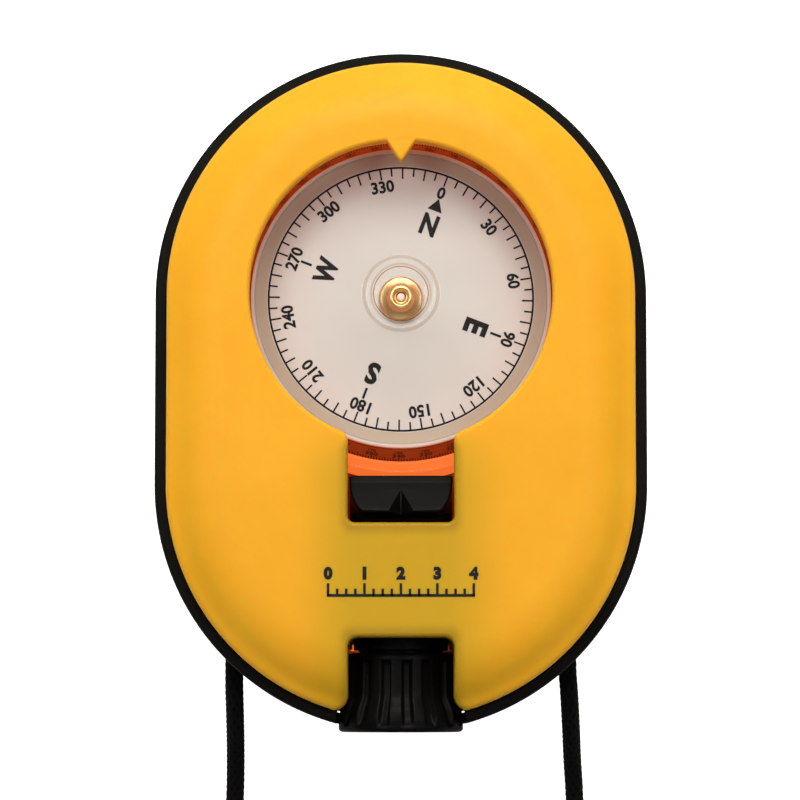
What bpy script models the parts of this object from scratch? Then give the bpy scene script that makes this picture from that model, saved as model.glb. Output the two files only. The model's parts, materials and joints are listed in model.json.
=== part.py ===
"""Hand sighting compass for field geology.

A liquid filled capsule with a free turning card sits in a two part floating
body.  The user looks into the focusing eyepiece and reads the degree scale on
the card's rim, or reads the flat dial through the round window.

The body lies on its flat back: +X to the user's right, +Y forward (away from
the eyepiece), +Z up out of the dial.  Lengths are in metres.
"""

from math import asin, cos, degrees, pi, radians, sin, tau

import bmesh
import bpy
from mathutils import Matrix, Vector

MM = 0.001

# Body: two half circles joined by straight sides
BODY_WIDTH = 55.0 * MM
BODY_LENGTH = 76.1 * MM
BODY_THICKNESS = 20.0 * MM
END_RADIUS = BODY_WIDTH / 2
END_OFFSET = BODY_LENGTH / 2 - END_RADIUS
MID_HEIGHT = BODY_THICKNESS / 2
ARC_STEPS = 24
GAP = 0.2 * MM

# Covers and the rubber band between them
BAND_THICKNESS = 1.2 * MM
BAND_HALF_HEIGHT = 5.0 * MM
TONGUE_DEPTH = 1.2 * MM
TONGUE_HALF_HEIGHT = 0.6 * MM
COVER_INSET = 1.4 * MM
WALL = 1.8 * MM
PLATE = 1.7 * MM
POST_RADIUS = 1.3 * MM
POST_TIP_RADIUS = 0.9 * MM
POST_TAPER = 0.8 * MM
PIN_RADIUS = 0.55 * MM

# Openings of the front cover
WINDOW_RADIUS = 16.8 * MM
POINTER_TIP_RADIUS = 14.5 * MM
POINTER_HALF_WIDTH = 1.5 * MM
SLOT_HALF_WIDTH = 5.86 * MM
SLOT_END = -15.0 * MM
SLOT_CORNER = 0.6 * MM
NOTCH_HALF_WIDTH = 5.85 * MM
NOTCH_START = -27.6 * MM
NOTCH_CORNER = 1.1 * MM
NOTCH_FLARE = 1.6 * MM
NOTCH_FLARE_START = -34.0 * MM

# Capsule, centred on the forward half circle
DIAL_Y = END_OFFSET
CAPSULE_RADIUS = 20.0 * MM
CAPSULE_BORE = 18.6 * MM
CAPSULE_BASE = 2.8 * MM
CAPSULE_FLOOR = 4.0 * MM
CAPSULE_RIM = 16.2 * MM
LID_TOP = 17.7 * MM
FILLER_RADIUS = 0.8 * MM
FILLER_OFFSET = 14.0 * MM

# Card
DIAL_TOP = 12.0 * MM
DIAL_RADIUS = 14.9 * MM
LIP_RADIUS = 16.9 * MM
SKIRT_RADIUS = 18.35 * MM
SKIRT_FOOT = 7.9 * MM
HUB_RADIUS = 2.5 * MM
HUB_TOP = 14.35 * MM

# Magnet hung under the card
TILT_HEIGHT = 7.8 * MM
HANGER_REACH = 5.3 * MM
MAGNET_REACH = 8.6 * MM

# Eyepiece, measured along its own axis out of the body
EYE_START = 19.5 * MM
NECK_RADIUS = 5.3 * MM
NECK_END = 28.95 * MM
NOSE_RADIUS = 4.7 * MM
NOSE_END = 36.4 * MM
EYE_BORE = 3.7 * MM
RING_START = 29.25 * MM
RING_END = 38.05 * MM
RING_RADIUS = 6.0 * MM
RING_FLARE_RADIUS = 7.0 * MM
RING_BORE = 4.9 * MM
GROOVES = 16
GROOVE_STEPS = 4
GROOVE_DEPTH = 0.5 * MM
CELL_RADIUS = 3.5 * MM
CELL_BORE = 2.75 * MM

# Lanyard cord and its stored coil
CORD_DIAMETER = 2.1 * MM
CORD_RADIUS = CORD_DIAMETER / 2
CORD_X = 18.7 * MM
CORD_HOLE_RADIUS = 1.4 * MM
FERRULE_RADIUS = 1.7 * MM
FERRULE_NEAR = -18.6 * MM
FERRULE_FAR = -22.6 * MM
COIL_Y = -66.0 * MM
COIL_MEAN_RADIUS = 11.55 * MM
COIL_HALF_WIDTH = 1.5 * CORD_DIAMETER
COIL_BASE = 0.85 * MM
COIL_HEIGHT = 4 * CORD_DIAMETER
TIE_THICKNESS = 0.5 * MM
TIE_HALF_WIDTH = 2.5 * MM

# Colour, roughness and metallic value of each material
FINISHES = {
    "yellow_plastic": ((0.90, 0.45, 0.03), 0.45, 0.0),
    "black_rubber": ((0.012, 0.012, 0.010), 0.65, 0.0),
    "black_plastic": ((0.010, 0.010, 0.010), 0.40, 0.0),
    "orange_acrylic": ((0.95, 0.22, 0.03), 0.10, 0.0),
    "clear_acrylic": ((0.95, 0.95, 0.93), 0.05, 0.0),
    "dial_white": ((0.72, 0.66, 0.60), 0.50, 0.0),
    "scale_brown": ((0.35, 0.10, 0.04), 0.50, 0.0),
    "brass": ((0.80, 0.58, 0.22), 0.20, 1.0),
    "steel": ((0.55, 0.55, 0.55), 0.25, 1.0),
    "magnet_nickel": ((0.40, 0.40, 0.38), 0.35, 1.0),
    "sapphire": ((0.90, 0.80, 0.75), 0.05, 0.0),
    "lens_glass": ((0.92, 0.96, 0.97), 0.03, 0.0),
    "grey_foam": ((0.30, 0.30, 0.30), 0.90, 0.0),
    "cord_black": ((0.015, 0.015, 0.015), 0.85, 0.0),
}


def make_material(name, colour, roughness, metallic):
    material = bpy.data.materials.new(name)
    material.use_nodes = True
    shader = material.node_tree.nodes["Principled BSDF"]
    shader.inputs["Base Color"].default_value = (*colour, 1.0)
    shader.inputs["Roughness"].default_value = roughness
    shader.inputs["Metallic"].default_value = metallic
    return material


def place(name, data, material, location=(0, 0, 0), rotation=(0, 0, 0), parent=None):
    """Link an object at a world place, keeping that place under its parent."""
    data.materials.append(MATERIALS[material])
    obj = bpy.data.objects.new(name, data)
    bpy.context.scene.collection.objects.link(obj)
    obj.location = location
    obj.rotation_euler = rotation
    if parent:
        obj.parent = parent
        obj.location = Vector(location) - parent.location
    return obj


def mesh_from(name, bm, sharp=35):
    bmesh.ops.recalc_face_normals(bm, faces=bm.faces)
    mesh = bpy.data.meshes.new(name)
    bm.to_mesh(mesh)
    bm.free()
    mesh.shade_smooth()
    mesh.set_sharp_from_angle(angle=radians(sharp))
    return mesh


def make_pivot(name, location):
    """An empty on a joint's axis, which carries the pieces that move on it."""
    pivot = bpy.data.objects.new(name, None)
    pivot.location = location
    bpy.context.scene.collection.objects.link(pivot)
    return pivot


# Outlines and solids


def arc(centre, radius, start, end, steps):
    """Points on an arc between two angles in degrees."""
    turns = [radians(start + (end - start) * i / steps) for i in range(steps + 1)]
    return [(centre[0] + radius * cos(t), centre[1] + radius * sin(t)) for t in turns]


def mirrored(half):
    """Close a right-hand half outline with its mirror image."""
    return half + [(-x, y) for x, y in reversed(half)]


def stadium(inset):
    radius = END_RADIUS - inset
    front = arc((0, END_OFFSET), radius, 0, 180, ARC_STEPS)
    back = arc((0, -END_OFFSET), radius, 180, 360, ARC_STEPS)
    return front + back


def stadium_mesh(name, profile, closed):
    """Sweep a profile of (inset, height) pairs round the body's outline."""
    bm = bmesh.new()
    rings = [[bm.verts.new((x, y, z)) for x, y in stadium(inset)] for inset, z in profile]
    pairs = list(zip(rings, rings[1:]))
    if closed:
        pairs.append((rings[-1], rings[0]))
    for low, high in pairs:
        for i in range(len(low)):
            j = (i + 1) % len(low)
            bm.faces.new((low[i], low[j], high[j], high[i]))
    if not closed:
        bm.faces.new(rings[0])
        bm.faces.new(rings[-1])
    return mesh_from(name, bm)


def turned_mesh(name, profile, segments, closed=False):
    """Turn a profile of (radius, height) pairs about Z."""
    bm = bmesh.new()
    verts = [bm.verts.new((r, 0, z)) for r, z in profile]
    edges = [bm.edges.new(pair) for pair in zip(verts, verts[1:])]
    if closed:
        edges.append(bm.edges.new((verts[-1], verts[0])))
    bmesh.ops.spin(
        bm, geom=verts + edges, axis=(0, 0, 1), cent=(0, 0, 0), dvec=(0, 0, 0),
        angle=tau, steps=segments, use_merge=True,
    )
    bmesh.ops.remove_doubles(bm, verts=bm.verts, dist=1e-7)
    return mesh_from(name, bm)


def prism_mesh(name, outline, low, high):
    bm = bmesh.new()
    base = bm.faces.new([bm.verts.new((x, y, low)) for x, y in outline])
    risen = bmesh.ops.extrude_face_region(bm, geom=[base])["geom"]
    top = [v for v in risen if isinstance(v, bmesh.types.BMVert)]
    bmesh.ops.translate(bm, verts=top, vec=(0, 0, high - low))
    return mesh_from(name, bm)


def cross_prism_mesh(name, outline, low, high):
    """The same, for an outline of (y, z) points swept along X."""
    mesh = prism_mesh(name, outline, low, high)
    mesh.transform(Matrix(((0, 0, 1, 0), (1, 0, 0, 0), (0, 1, 0, 0), (0, 0, 0, 1))))
    return mesh


def box_outline(x_low, x_high, y_low, y_high):
    return [(x_low, y_low), (x_high, y_low), (x_high, y_high), (x_low, y_high)]


def rod_profile(radius, low, high):
    return [(0, low), (radius, low), (radius, high), (0, high)]


def as_guide(obj):
    obj.hide_render = True
    obj.display_type = "WIRE"
    return obj


def shape_with(target, guide, operation):
    step = target.modifiers.new(guide.name, "BOOLEAN")
    step.operation = operation
    step.object = as_guide(guide)


def add_turned(
    target, name, profile, segments, location,
    rotation=(0, 0, 0), operation="DIFFERENCE", closed=False,
):
    mesh = turned_mesh(name, profile, segments, closed)
    guide = place(name, mesh, "steel", location, rotation)
    shape_with(target, guide, operation)


def add_prism(target, name, outline, low, high, operation="DIFFERENCE"):
    guide = place(name, prism_mesh(name, outline, low, high), "steel")
    shape_with(target, guide, operation)


TOWARDS_EYE = (pi / 2, 0, 0)


# Covers


def cover_profile():
    """(inset, height above the parting plane), from the inside out."""
    rim = COVER_INSET + TONGUE_DEPTH + GAP
    inside = COVER_INSET + WALL
    top = MID_HEIGHT
    return [
        (inside + 1.4 * MM, top - PLATE),
        (inside, top - PLATE - 1.4 * MM),
        (inside, GAP / 2),
        (rim, GAP / 2),
        (rim, TONGUE_HALF_HEIGHT + GAP),
        (COVER_INSET, TONGUE_HALF_HEIGHT + GAP),
        (COVER_INSET, top - 3.5 * MM),
        (COVER_INSET + 0.25 * MM, top - 2.8 * MM),
        (COVER_INSET + 0.5 * MM, top - 2.6 * MM),
        (COVER_INSET + 1.1 * MM, top - 2.3 * MM),
        (COVER_INSET + 2.0 * MM, top - 1.6 * MM),
        (COVER_INSET + 3.1 * MM, top - 0.95 * MM),
        (COVER_INSET + 4.6 * MM, top - 0.4 * MM),
        (COVER_INSET + 5.8 * MM, top - 0.12 * MM),
        (COVER_INSET + 7.0 * MM, top),
    ]


def cover_mesh(name, side):
    """side is +1 for the front cover and -1 for the back cover."""
    return stadium_mesh(name, [(d, MID_HEIGHT + side * h) for d, h in cover_profile()], False)


def window_outline():
    """Round window with the pointer at its far side and the slot at its near side."""
    slot_angle = degrees(asin(SLOT_HALF_WIDTH / WINDOW_RADIUS))
    pointer_angle = degrees(asin(POINTER_HALF_WIDTH / WINDOW_RADIUS))
    inner_x = SLOT_HALF_WIDTH - SLOT_CORNER
    inner_y = SLOT_END + SLOT_CORNER
    half = arc((inner_x, inner_y), SLOT_CORNER, 270, 360, 4)
    half += arc((0, DIAL_Y), WINDOW_RADIUS, slot_angle - 90, 90 - pointer_angle, 36)
    tip = [(0, DIAL_Y + POINTER_TIP_RADIUS)]
    return half + tip + [(-x, y) for x, y in reversed(half)]


def notch_outline():
    """Pocket that shows the eyepiece, opening out at the body's edge."""
    corner = (NOTCH_HALF_WIDTH - NOTCH_CORNER, NOTCH_START - NOTCH_CORNER)
    flare = (NOTCH_HALF_WIDTH + NOTCH_FLARE, NOTCH_FLARE_START)
    half = arc(corner, NOTCH_CORNER, 90, 0, 5)
    half += arc(flare, NOTCH_FLARE, 180, 270, 6)
    half.append((flare[0], -BODY_LENGTH))
    return mirrored(half)


def post_places():
    reach = (CAPSULE_RADIUS + 2.3 * MM) * cos(radians(45))
    rear = (12.5 * MM, -24.0 * MM)
    return [
        (side * x, y)
        for x, y in ((reach, DIAL_Y + reach), rear)
        for side in (-1, 1)
    ]


def cut_common_openings(cover, label):
    add_turned(cover, label + "_neck_cut", rod_profile(NECK_RADIUS + GAP, 15 * MM, 29 * MM),
               32, (0, 0, MID_HEIGHT), TOWARDS_EYE)
    add_turned(cover, label + "_ring_cut",
               rod_profile(RING_RADIUS + 0.3 * MM, RING_START - 2 * GAP, 36 * MM),
               40, (0, 0, MID_HEIGHT), TOWARDS_EYE)
    add_turned(cover, label + "_flare_cut",
               rod_profile(RING_FLARE_RADIUS + 0.3 * MM, 34.4 * MM, 42 * MM),
               48, (0, 0, MID_HEIGHT), TOWARDS_EYE)
    for side, word in ((-1, "left"), (1, "right")):
        add_turned(cover, label + "_cord_cut_" + word,
                   rod_profile(CORD_HOLE_RADIUS, 22.8 * MM, 40 * MM),
                   16, (side * CORD_X, 0, MID_HEIGHT), TOWARDS_EYE)


def add_seats(cover, label, side):
    """Ring that locates the capsule, and the walls that hold the eyepiece."""
    plate = MID_HEIGHT + side * (MID_HEIGHT - PLATE + 0.4 * MM)
    ring_end = MID_HEIGHT + side * 2.5 * MM
    parting = MID_HEIGHT + side * GAP
    ring = [(r, z) for r, z in (
        (CAPSULE_RADIUS + 0.3 * MM, plate), (CAPSULE_RADIUS + 1.5 * MM, plate),
        (CAPSULE_RADIUS + 1.5 * MM, ring_end), (CAPSULE_RADIUS + 0.3 * MM, ring_end))]
    add_turned(cover, label + "_capsule_ring", ring, 64, (0, DIAL_Y, 0), operation="UNION", closed=True)
    wall = NOTCH_START + 1.2 * MM
    slope = ((-31.5 * MM, 8.7 * MM), (-33.0 * MM, 7.4 * MM), (-34.3 * MM, 5.4 * MM))
    pocket = [(wall, parting), (wall, plate)]
    pocket += [(y, MID_HEIGHT + side * rise) for y, rise in slope]
    pocket.append((slope[-1][0], parting))
    half = NOTCH_HALF_WIDTH + 1.75 * MM
    mesh = cross_prism_mesh(label + "_pocket", pocket, -half, half)
    shape_with(cover, place(label + "_eyepiece_pocket", mesh, "steel"), "UNION")
    low, high = sorted((plate, parting))
    saddle = box_outline(-8.5 * MM, 8.5 * MM, -22.6 * MM, -21.0 * MM)
    add_prism(cover, label + "_eyepiece_saddle", saddle, low, high, "UNION")


def make_front_cover():
    cover = place("front_cover", cover_mesh("front_cover", 1), "yellow_plastic")
    add_seats(cover, "front", 1)
    root = BODY_THICKNESS - PLATE + 0.3 * MM
    pin = [(0, 5 * MM), (PIN_RADIUS, 5 * MM), (PIN_RADIUS, MID_HEIGHT + GAP),
           (POST_RADIUS, MID_HEIGHT + GAP), (POST_RADIUS, root - POST_TAPER),
           (POST_TIP_RADIUS, root), (0, root)]
    for number, (x, y) in enumerate(post_places()):
        add_turned(cover, f"front_pin_{number}", pin, 16, (x, y, 0), operation="UNION")
    add_prism(cover, "window_cut", window_outline(), MID_HEIGHT + MM, BODY_THICKNESS + MM)
    add_prism(cover, "front_notch_cut", notch_outline(), MID_HEIGHT - MM, BODY_THICKNESS + MM)
    cut_common_openings(cover, "front")


def make_back_cover():
    cover = place("back_cover", cover_mesh("back_cover", -1), "yellow_plastic")
    add_seats(cover, "back", -1)
    root, top, bore = PLATE - 0.3 * MM, MID_HEIGHT - 2 * GAP, PIN_RADIUS + GAP
    socket = [(0, root), (POST_TIP_RADIUS, root), (POST_RADIUS, root + POST_TAPER),
              (POST_RADIUS, top), (bore, top), (bore, 3 * MM), (0, 3 * MM)]
    for number, (x, y) in enumerate(post_places()):
        add_turned(cover, f"back_socket_{number}", socket, 16, (x, y, 0), operation="UNION")
    block_seat = box_outline(-SLOT_HALF_WIDTH, SLOT_HALF_WIDTH, SLOT_END, -9 * MM)
    add_prism(cover, "block_seat_cut", block_seat, PLATE + 0.1 * MM, MID_HEIGHT)
    add_prism(cover, "back_notch_cut", notch_outline(), -MM, MID_HEIGHT + MM)
    cut_common_openings(cover, "back")


def make_bumper_band():
    """Rubber band round the parting line, with a tongue held by both covers."""
    edge = 0.35 * MM
    half = [(BAND_THICKNESS + TONGUE_DEPTH, TONGUE_HALF_HEIGHT), (BAND_THICKNESS, TONGUE_HALF_HEIGHT),
            (BAND_THICKNESS, BAND_HALF_HEIGHT), (edge, BAND_HALF_HEIGHT),
            (edge * 0.3, BAND_HALF_HEIGHT - edge * 0.3), (0, BAND_HALF_HEIGHT - edge)]
    profile = [(d, MID_HEIGHT + h) for d, h in half]
    profile += [(d, MID_HEIGHT - h) for d, h in reversed(half)]
    band = place("bumper_band", stadium_mesh("bumper_band", profile, True), "black_rubber")
    clear_of_ring = [(0, 33 * MM), (6.5 * MM, 33 * MM), (6.5 * MM, 34.4 * MM), (7.05 * MM, 35.4 * MM),
                     (7.25 * MM, 36.0 * MM), (7.25 * MM, 42 * MM), (0, 42 * MM)]
    add_turned(band, "band_eyepiece_cut", clear_of_ring, 48, (0, 0, MID_HEIGHT), TOWARDS_EYE)
    add_prism(band, "band_front_cut", box_outline(-7.2 * MM, 7.2 * MM, -42 * MM, -32 * MM),
              MID_HEIGHT + TONGUE_HALF_HEIGHT, BODY_THICKNESS)
    for side, word in ((-1, "left"), (1, "right")):
        add_turned(band, "band_cord_cut_" + word, rod_profile(CORD_HOLE_RADIUS, 22 * MM, 40 * MM),
                   16, (side * CORD_X, 0, MID_HEIGHT), TOWARDS_EYE)


# Capsule


def make_capsule():
    centre = (0, DIAL_Y, 0)
    cup_profile = [
        (0, CAPSULE_BASE), (CAPSULE_RADIUS, CAPSULE_BASE), (CAPSULE_RADIUS, CAPSULE_RIM),
        (CAPSULE_BORE, CAPSULE_RIM), (CAPSULE_BORE, CAPSULE_FLOOR), (0, CAPSULE_FLOOR),
    ]
    cup = place("capsule_cup", turned_mesh("capsule_cup", cup_profile, 64), "orange_acrylic", centre)
    port = (0, DIAL_Y + FILLER_OFFSET, 0)
    add_turned(cup, "filler_cut", rod_profile(FILLER_RADIUS + GAP, 0, 5 * MM), 16, port)
    plug = [(0, CAPSULE_BASE + 0.1 * MM), (FILLER_RADIUS, CAPSULE_BASE + 0.1 * MM),
            (FILLER_RADIUS, CAPSULE_FLOOR + 0.3 * MM), (0, CAPSULE_FLOOR + 0.3 * MM)]
    place("filler_plug", turned_mesh("filler_plug", plug, 16), "black_rubber", port)
    lid_base = CAPSULE_RIM + GAP
    lid = [
        (0, lid_base), (CAPSULE_RADIUS - 0.1 * MM, lid_base), (CAPSULE_RADIUS - 0.1 * MM, LID_TOP),
        (4.4 * MM, LID_TOP), (4.0 * MM, LID_TOP + 0.12 * MM), (3.6 * MM, LID_TOP),
        (3.1 * MM, LID_TOP - 0.15 * MM), (0, LID_TOP - 0.15 * MM),
    ]
    place("capsule_lid", turned_mesh("capsule_lid", lid, 48), "clear_acrylic", centre)
    pad = [(10 * MM, PLATE + GAP), (CAPSULE_RADIUS - MM, PLATE + GAP),
           (CAPSULE_RADIUS - MM, CAPSULE_BASE - GAP), (10 * MM, CAPSULE_BASE - GAP)]
    place("capsule_pad", turned_mesh("capsule_pad", pad, 32, True), "grey_foam", centre)
    needle_seat = 9.6 * MM
    post = [
        (0, CAPSULE_FLOOR + GAP), (3 * MM, CAPSULE_FLOOR + GAP), (3 * MM, CAPSULE_FLOOR + 0.8 * MM),
        (1.1 * MM, CAPSULE_FLOOR + 1.3 * MM), (1.1 * MM, needle_seat), (0.45 * MM, needle_seat),
        (0.45 * MM, 7.5 * MM), (0, 7.5 * MM),
    ]
    place("pivot_post", turned_mesh("pivot_post", post, 16), "orange_acrylic", centre)
    needle = [(0, 7.7 * MM), (0.3 * MM, 7.7 * MM), (0.3 * MM, 11.8 * MM),
              (0.04 * MM, 13.05 * MM), (0, 13.05 * MM)]
    place("pivot_needle", turned_mesh("pivot_needle", needle, 12), "steel", centre)


# Card and the magnet below it


def make_card():
    pivot = make_pivot("card_axis", (0, DIAL_Y, 0))
    centre = pivot.location
    under = DIAL_TOP - 0.6 * MM
    ring_under = DIAL_TOP + 0.1 * MM
    lip_top = DIAL_TOP + 0.9 * MM
    card = [
        (1.6 * MM, under), (15.2 * MM, under), (16.5 * MM, ring_under), (LIP_RADIUS, ring_under),
        (LIP_RADIUS, lip_top - 0.12 * MM), (LIP_RADIUS - 0.12 * MM, lip_top),
        (LIP_RADIUS - 0.35 * MM, lip_top), (LIP_RADIUS - 0.5 * MM, lip_top - 0.2 * MM),
        (LIP_RADIUS - 1.0 * MM, DIAL_TOP + 0.3 * MM), (DIAL_RADIUS + 0.4 * MM, DIAL_TOP + 0.06 * MM),
        (DIAL_RADIUS, DIAL_TOP), (1.6 * MM, DIAL_TOP),
    ]
    place("dial_card", turned_mesh("dial_card", card, 48, True), "dial_white", centre, parent=pivot)
    skirt_head = ring_under - GAP
    skirt = [(16.55 * MM, skirt_head), (17.05 * MM, skirt_head),
             (SKIRT_RADIUS, SKIRT_FOOT), (SKIRT_RADIUS - 0.5 * MM, SKIRT_FOOT)]
    place("scale_skirt", turned_mesh("scale_skirt", skirt, 48, True), "scale_brown", centre, parent=pivot)
    seat = DIAL_TOP + GAP
    hub = [
        (0.6 * MM, seat - 1.2 * MM), (1.3 * MM, seat - 1.2 * MM), (1.3 * MM, seat), (HUB_RADIUS, seat),
        (HUB_RADIUS, seat + 0.22 * MM), (2.3 * MM, seat + 0.38 * MM), (1.95 * MM, seat + 0.5 * MM),
        (1.6 * MM, seat + 0.8 * MM), (1.4 * MM, seat + 1.3 * MM), (1.31 * MM, HUB_TOP - 0.2 * MM),
        (1.15 * MM, HUB_TOP), (1.0 * MM, HUB_TOP), (0.9 * MM, HUB_TOP - 0.25 * MM),
        (0.6 * MM, HUB_TOP - 0.35 * MM),
    ]
    place("hub_cap", turned_mesh("hub_cap", hub, 24, True), "brass", centre, parent=pivot)
    jewel = [(0, 13.35 * MM), (0.2 * MM, 13.2 * MM), (0.48 * MM, 13.2 * MM), (0.48 * MM, 13.75 * MM),
             (0.3 * MM, 13.95 * MM), (0, 14.0 * MM)]
    place("pivot_jewel", turned_mesh("pivot_jewel", jewel, 12), "sapphire", centre, parent=pivot)
    make_hanger(pivot)


def cross_pin_profile():
    return rod_profile(0.35 * MM, 3.0 * MM, HANGER_REACH + 0.2 * MM)


def add_pin_holes(target, label):
    start = (0, DIAL_Y, TILT_HEIGHT)
    for turn, word in ((1, "right"), (-1, "left")):
        add_turned(target, f"{label}_pin_cut_{word}", rod_profile(0.5 * MM, 2 * MM, 7 * MM),
                   12, start, (0, turn * pi / 2, 0))


def make_hanger(pivot):
    """Stirrup below the hub that carries the magnet's two cross pins."""
    head_low = 10.3 * MM
    head = [(1.6 * MM, head_low), (HANGER_REACH, head_low), (HANGER_REACH, head_low + 0.5 * MM),
            (1.6 * MM, head_low + 0.5 * MM)]
    mesh = turned_mesh("magnet_hanger", head, 32, True)
    hanger = place("magnet_hanger", mesh, "brass", pivot.location, parent=pivot)
    for side, word in ((-1, "left"), (1, "right")):
        near, far = sorted((side * 4.5 * MM, side * 5.2 * MM))
        leg = box_outline(near, far, DIAL_Y - MM, DIAL_Y + MM)
        add_prism(hanger, "hanger_leg_" + word, leg, TILT_HEIGHT - MM, head_low + 0.25 * MM, "UNION")
    add_pin_holes(hanger, "hanger")
    for turn, word in ((1, "right"), (-1, "left")):
        mesh = turned_mesh("tilt_pin_" + word, cross_pin_profile(), 12)
        place("tilt_pin_" + word, mesh, "steel", (0, DIAL_Y, TILT_HEIGHT), (0, turn * pi / 2, 0), pivot)


def make_magnet():
    pivot = make_pivot("tilt_axis", (0, DIAL_Y, TILT_HEIGHT))
    ring = [(2.7 * MM, -0.6 * MM), (3.9 * MM, -0.6 * MM), (3.9 * MM, 0.6 * MM), (2.7 * MM, 0.6 * MM)]
    mesh = turned_mesh("magnet_frame", ring, 32, True)
    frame = place("magnet_frame", mesh, "brass", pivot.location, parent=pivot)
    for side, word in ((-1, "south"), (1, "north")):
        near, far = sorted((side * 3.3 * MM, side * (MAGNET_REACH + 0.1 * MM)))
        arm = box_outline(-3.2 * MM, 3.2 * MM, DIAL_Y + near, DIAL_Y + far)
        add_prism(frame, "frame_arm_" + word, arm, TILT_HEIGHT, TILT_HEIGHT + 0.55 * MM, "UNION")
        near, far = sorted((side * 4.6 * MM, side * MAGNET_REACH))
        bar = box_outline(-2.6 * MM, 2.6 * MM, near, far)
        mesh = prism_mesh("magnet_" + word, bar, -1.8 * MM, -GAP)
        place("magnet_" + word, mesh, "magnet_nickel", pivot.location, parent=pivot)
    add_pin_holes(frame, "frame")


# Sighting block and eyepiece


def make_sight_block():
    """Black block in the slot: its top rises to a crest with an open V, above the sight line's bore."""
    half = SLOT_HALF_WIDTH - GAP
    foot = PLATE + 0.3 * MM
    front, back = -9.7 * MM, SLOT_END + GAP
    # position along the body, height of the top, half width of the top
    sections = (
        (front, 17.3 * MM, half - 0.2 * MM), (front - 0.15 * MM, 17.6 * MM, half - 0.05 * MM),
        (-10.4 * MM, 17.75 * MM, half - 0.05 * MM), (-12.6 * MM, 18.9 * MM, half - 0.5 * MM),
        (-13.6 * MM, 19.35 * MM, half - 1.3 * MM), (-13.9 * MM, 19.3 * MM, half - 1.5 * MM),
        (-14.3 * MM, 17.6 * MM, half - 1.5 * MM), (back, 17.2 * MM, half - 1.2 * MM),
    )
    bm = bmesh.new()
    rings = []
    for y, top, top_width in sections:
        half_ring = [(half, foot), (half, 17.0 * MM), (top_width, top)]
        outline = half_ring + [(-x, z) for x, z in reversed(half_ring)]
        rings.append([bm.verts.new((x, y, z)) for x, z in outline])
    for near, far in zip(rings, rings[1:]):
        for i in range(len(near)):
            j = (i + 1) % len(near)
            bm.faces.new((near[i], near[j], far[j], far[i]))
    bm.faces.new(rings[0])
    bm.faces.new(rings[-1])
    block = place("sight_block", mesh_from("sight_block", bm), "black_plastic")
    add_turned(block, "sight_bore_cut", rod_profile(2.0 * MM, 5 * MM, 20 * MM),
               24, (0, 0, MID_HEIGHT), TOWARDS_EYE)
    notch_floor = 18.15 * MM
    notch = [(0, notch_floor), (2.4 * MM, notch_floor + 2.0 * MM), (-2.4 * MM, notch_floor + 2.0 * MM)]
    mesh = prism_mesh("v_notch_cut", notch, 9 * MM, 16 * MM)
    shape_with(block, place("v_notch_cut", mesh, "steel", rotation=TOWARDS_EYE), "DIFFERENCE")
    reticle = turned_mesh("index_reticle", rod_profile(1.8 * MM, 10.3 * MM, 10.9 * MM), 24)
    place("index_reticle", reticle, "lens_glass", (0, 0, MID_HEIGHT), TOWARDS_EYE)


def make_eyepiece():
    axis = (0, 0, MID_HEIGHT)
    groove_low, groove_high, groove_floor = 30.6 * MM, 31.6 * MM, 4.15 * MM
    sleeve = [
        (EYE_BORE, EYE_START), (NECK_RADIUS, EYE_START), (NECK_RADIUS, NECK_END), (NOSE_RADIUS, NECK_END),
        (NOSE_RADIUS, groove_low), (groove_floor, groove_low), (groove_floor, groove_high),
        (NOSE_RADIUS, groove_high), (NOSE_RADIUS, NOSE_END), (EYE_BORE, NOSE_END),
    ]
    mesh = turned_mesh("eyepiece_sleeve", sleeve, 28, True)
    place("eyepiece_sleeve", mesh, "black_plastic", axis, TOWARDS_EYE)
    section = arc((4.5 * MM, (groove_low + groove_high) / 2), 0.28 * MM, 0, 300, 5)
    seal = turned_mesh("eyepiece_o_ring", section, 24, True)
    place("eyepiece_o_ring", seal, "black_rubber", axis, TOWARDS_EYE)
    place("focus_ring", focus_ring_mesh(), "black_plastic", axis, TOWARDS_EYE)
    cradle_outline = box_outline(-5.65 * MM, 5.65 * MM, -28.95 * MM, -28.3 * MM)
    mesh = prism_mesh("eyepiece_cradle", cradle_outline, 1.0 * MM, 9.4 * MM)
    cradle = place("eyepiece_cradle", mesh, "orange_acrylic")
    channel = rod_profile(NECK_RADIUS + GAP, 27 * MM, 31 * MM)
    add_turned(cradle, "cradle_cut", channel, 40, axis, TOWARDS_EYE)
    cell = [
        (CELL_BORE, 29.0 * MM), (CELL_RADIUS, 29.0 * MM), (CELL_RADIUS, 35.4 * MM),
        (2.4 * MM, 35.4 * MM), (2.4 * MM, 34.9 * MM), (CELL_BORE, 34.9 * MM),
    ]
    place("lens_cell", turned_mesh("lens_cell", cell, 24, True), "black_plastic", axis, TOWARDS_EYE)
    place("eye_lens", turned_mesh("eye_lens", lens_profile(), 24), "lens_glass", axis, TOWARDS_EYE)
    keeper = box_outline(2.1 * MM, 2.6 * MM, 32.0 * MM, 32.7 * MM)
    mesh = turned_mesh("lens_keeper", keeper, 24, True)
    place("lens_keeper", mesh, "black_plastic", axis, TOWARDS_EYE)


def lens_profile():
    """Both faces bulge by the same sagitta about the lens's edge."""
    rim, near, far, bulge, steps = 2.6 * MM, 33.35 * MM, 34.25 * MM, 0.45 * MM, 3
    shape = [(rim * i / steps, 1 - (i / steps) ** 2) for i in range(steps + 1)]
    back = [(r, near - bulge * s) for r, s in shape]
    front = [(r, far + bulge * s) for r, s in reversed(shape)]
    return back + front


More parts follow.
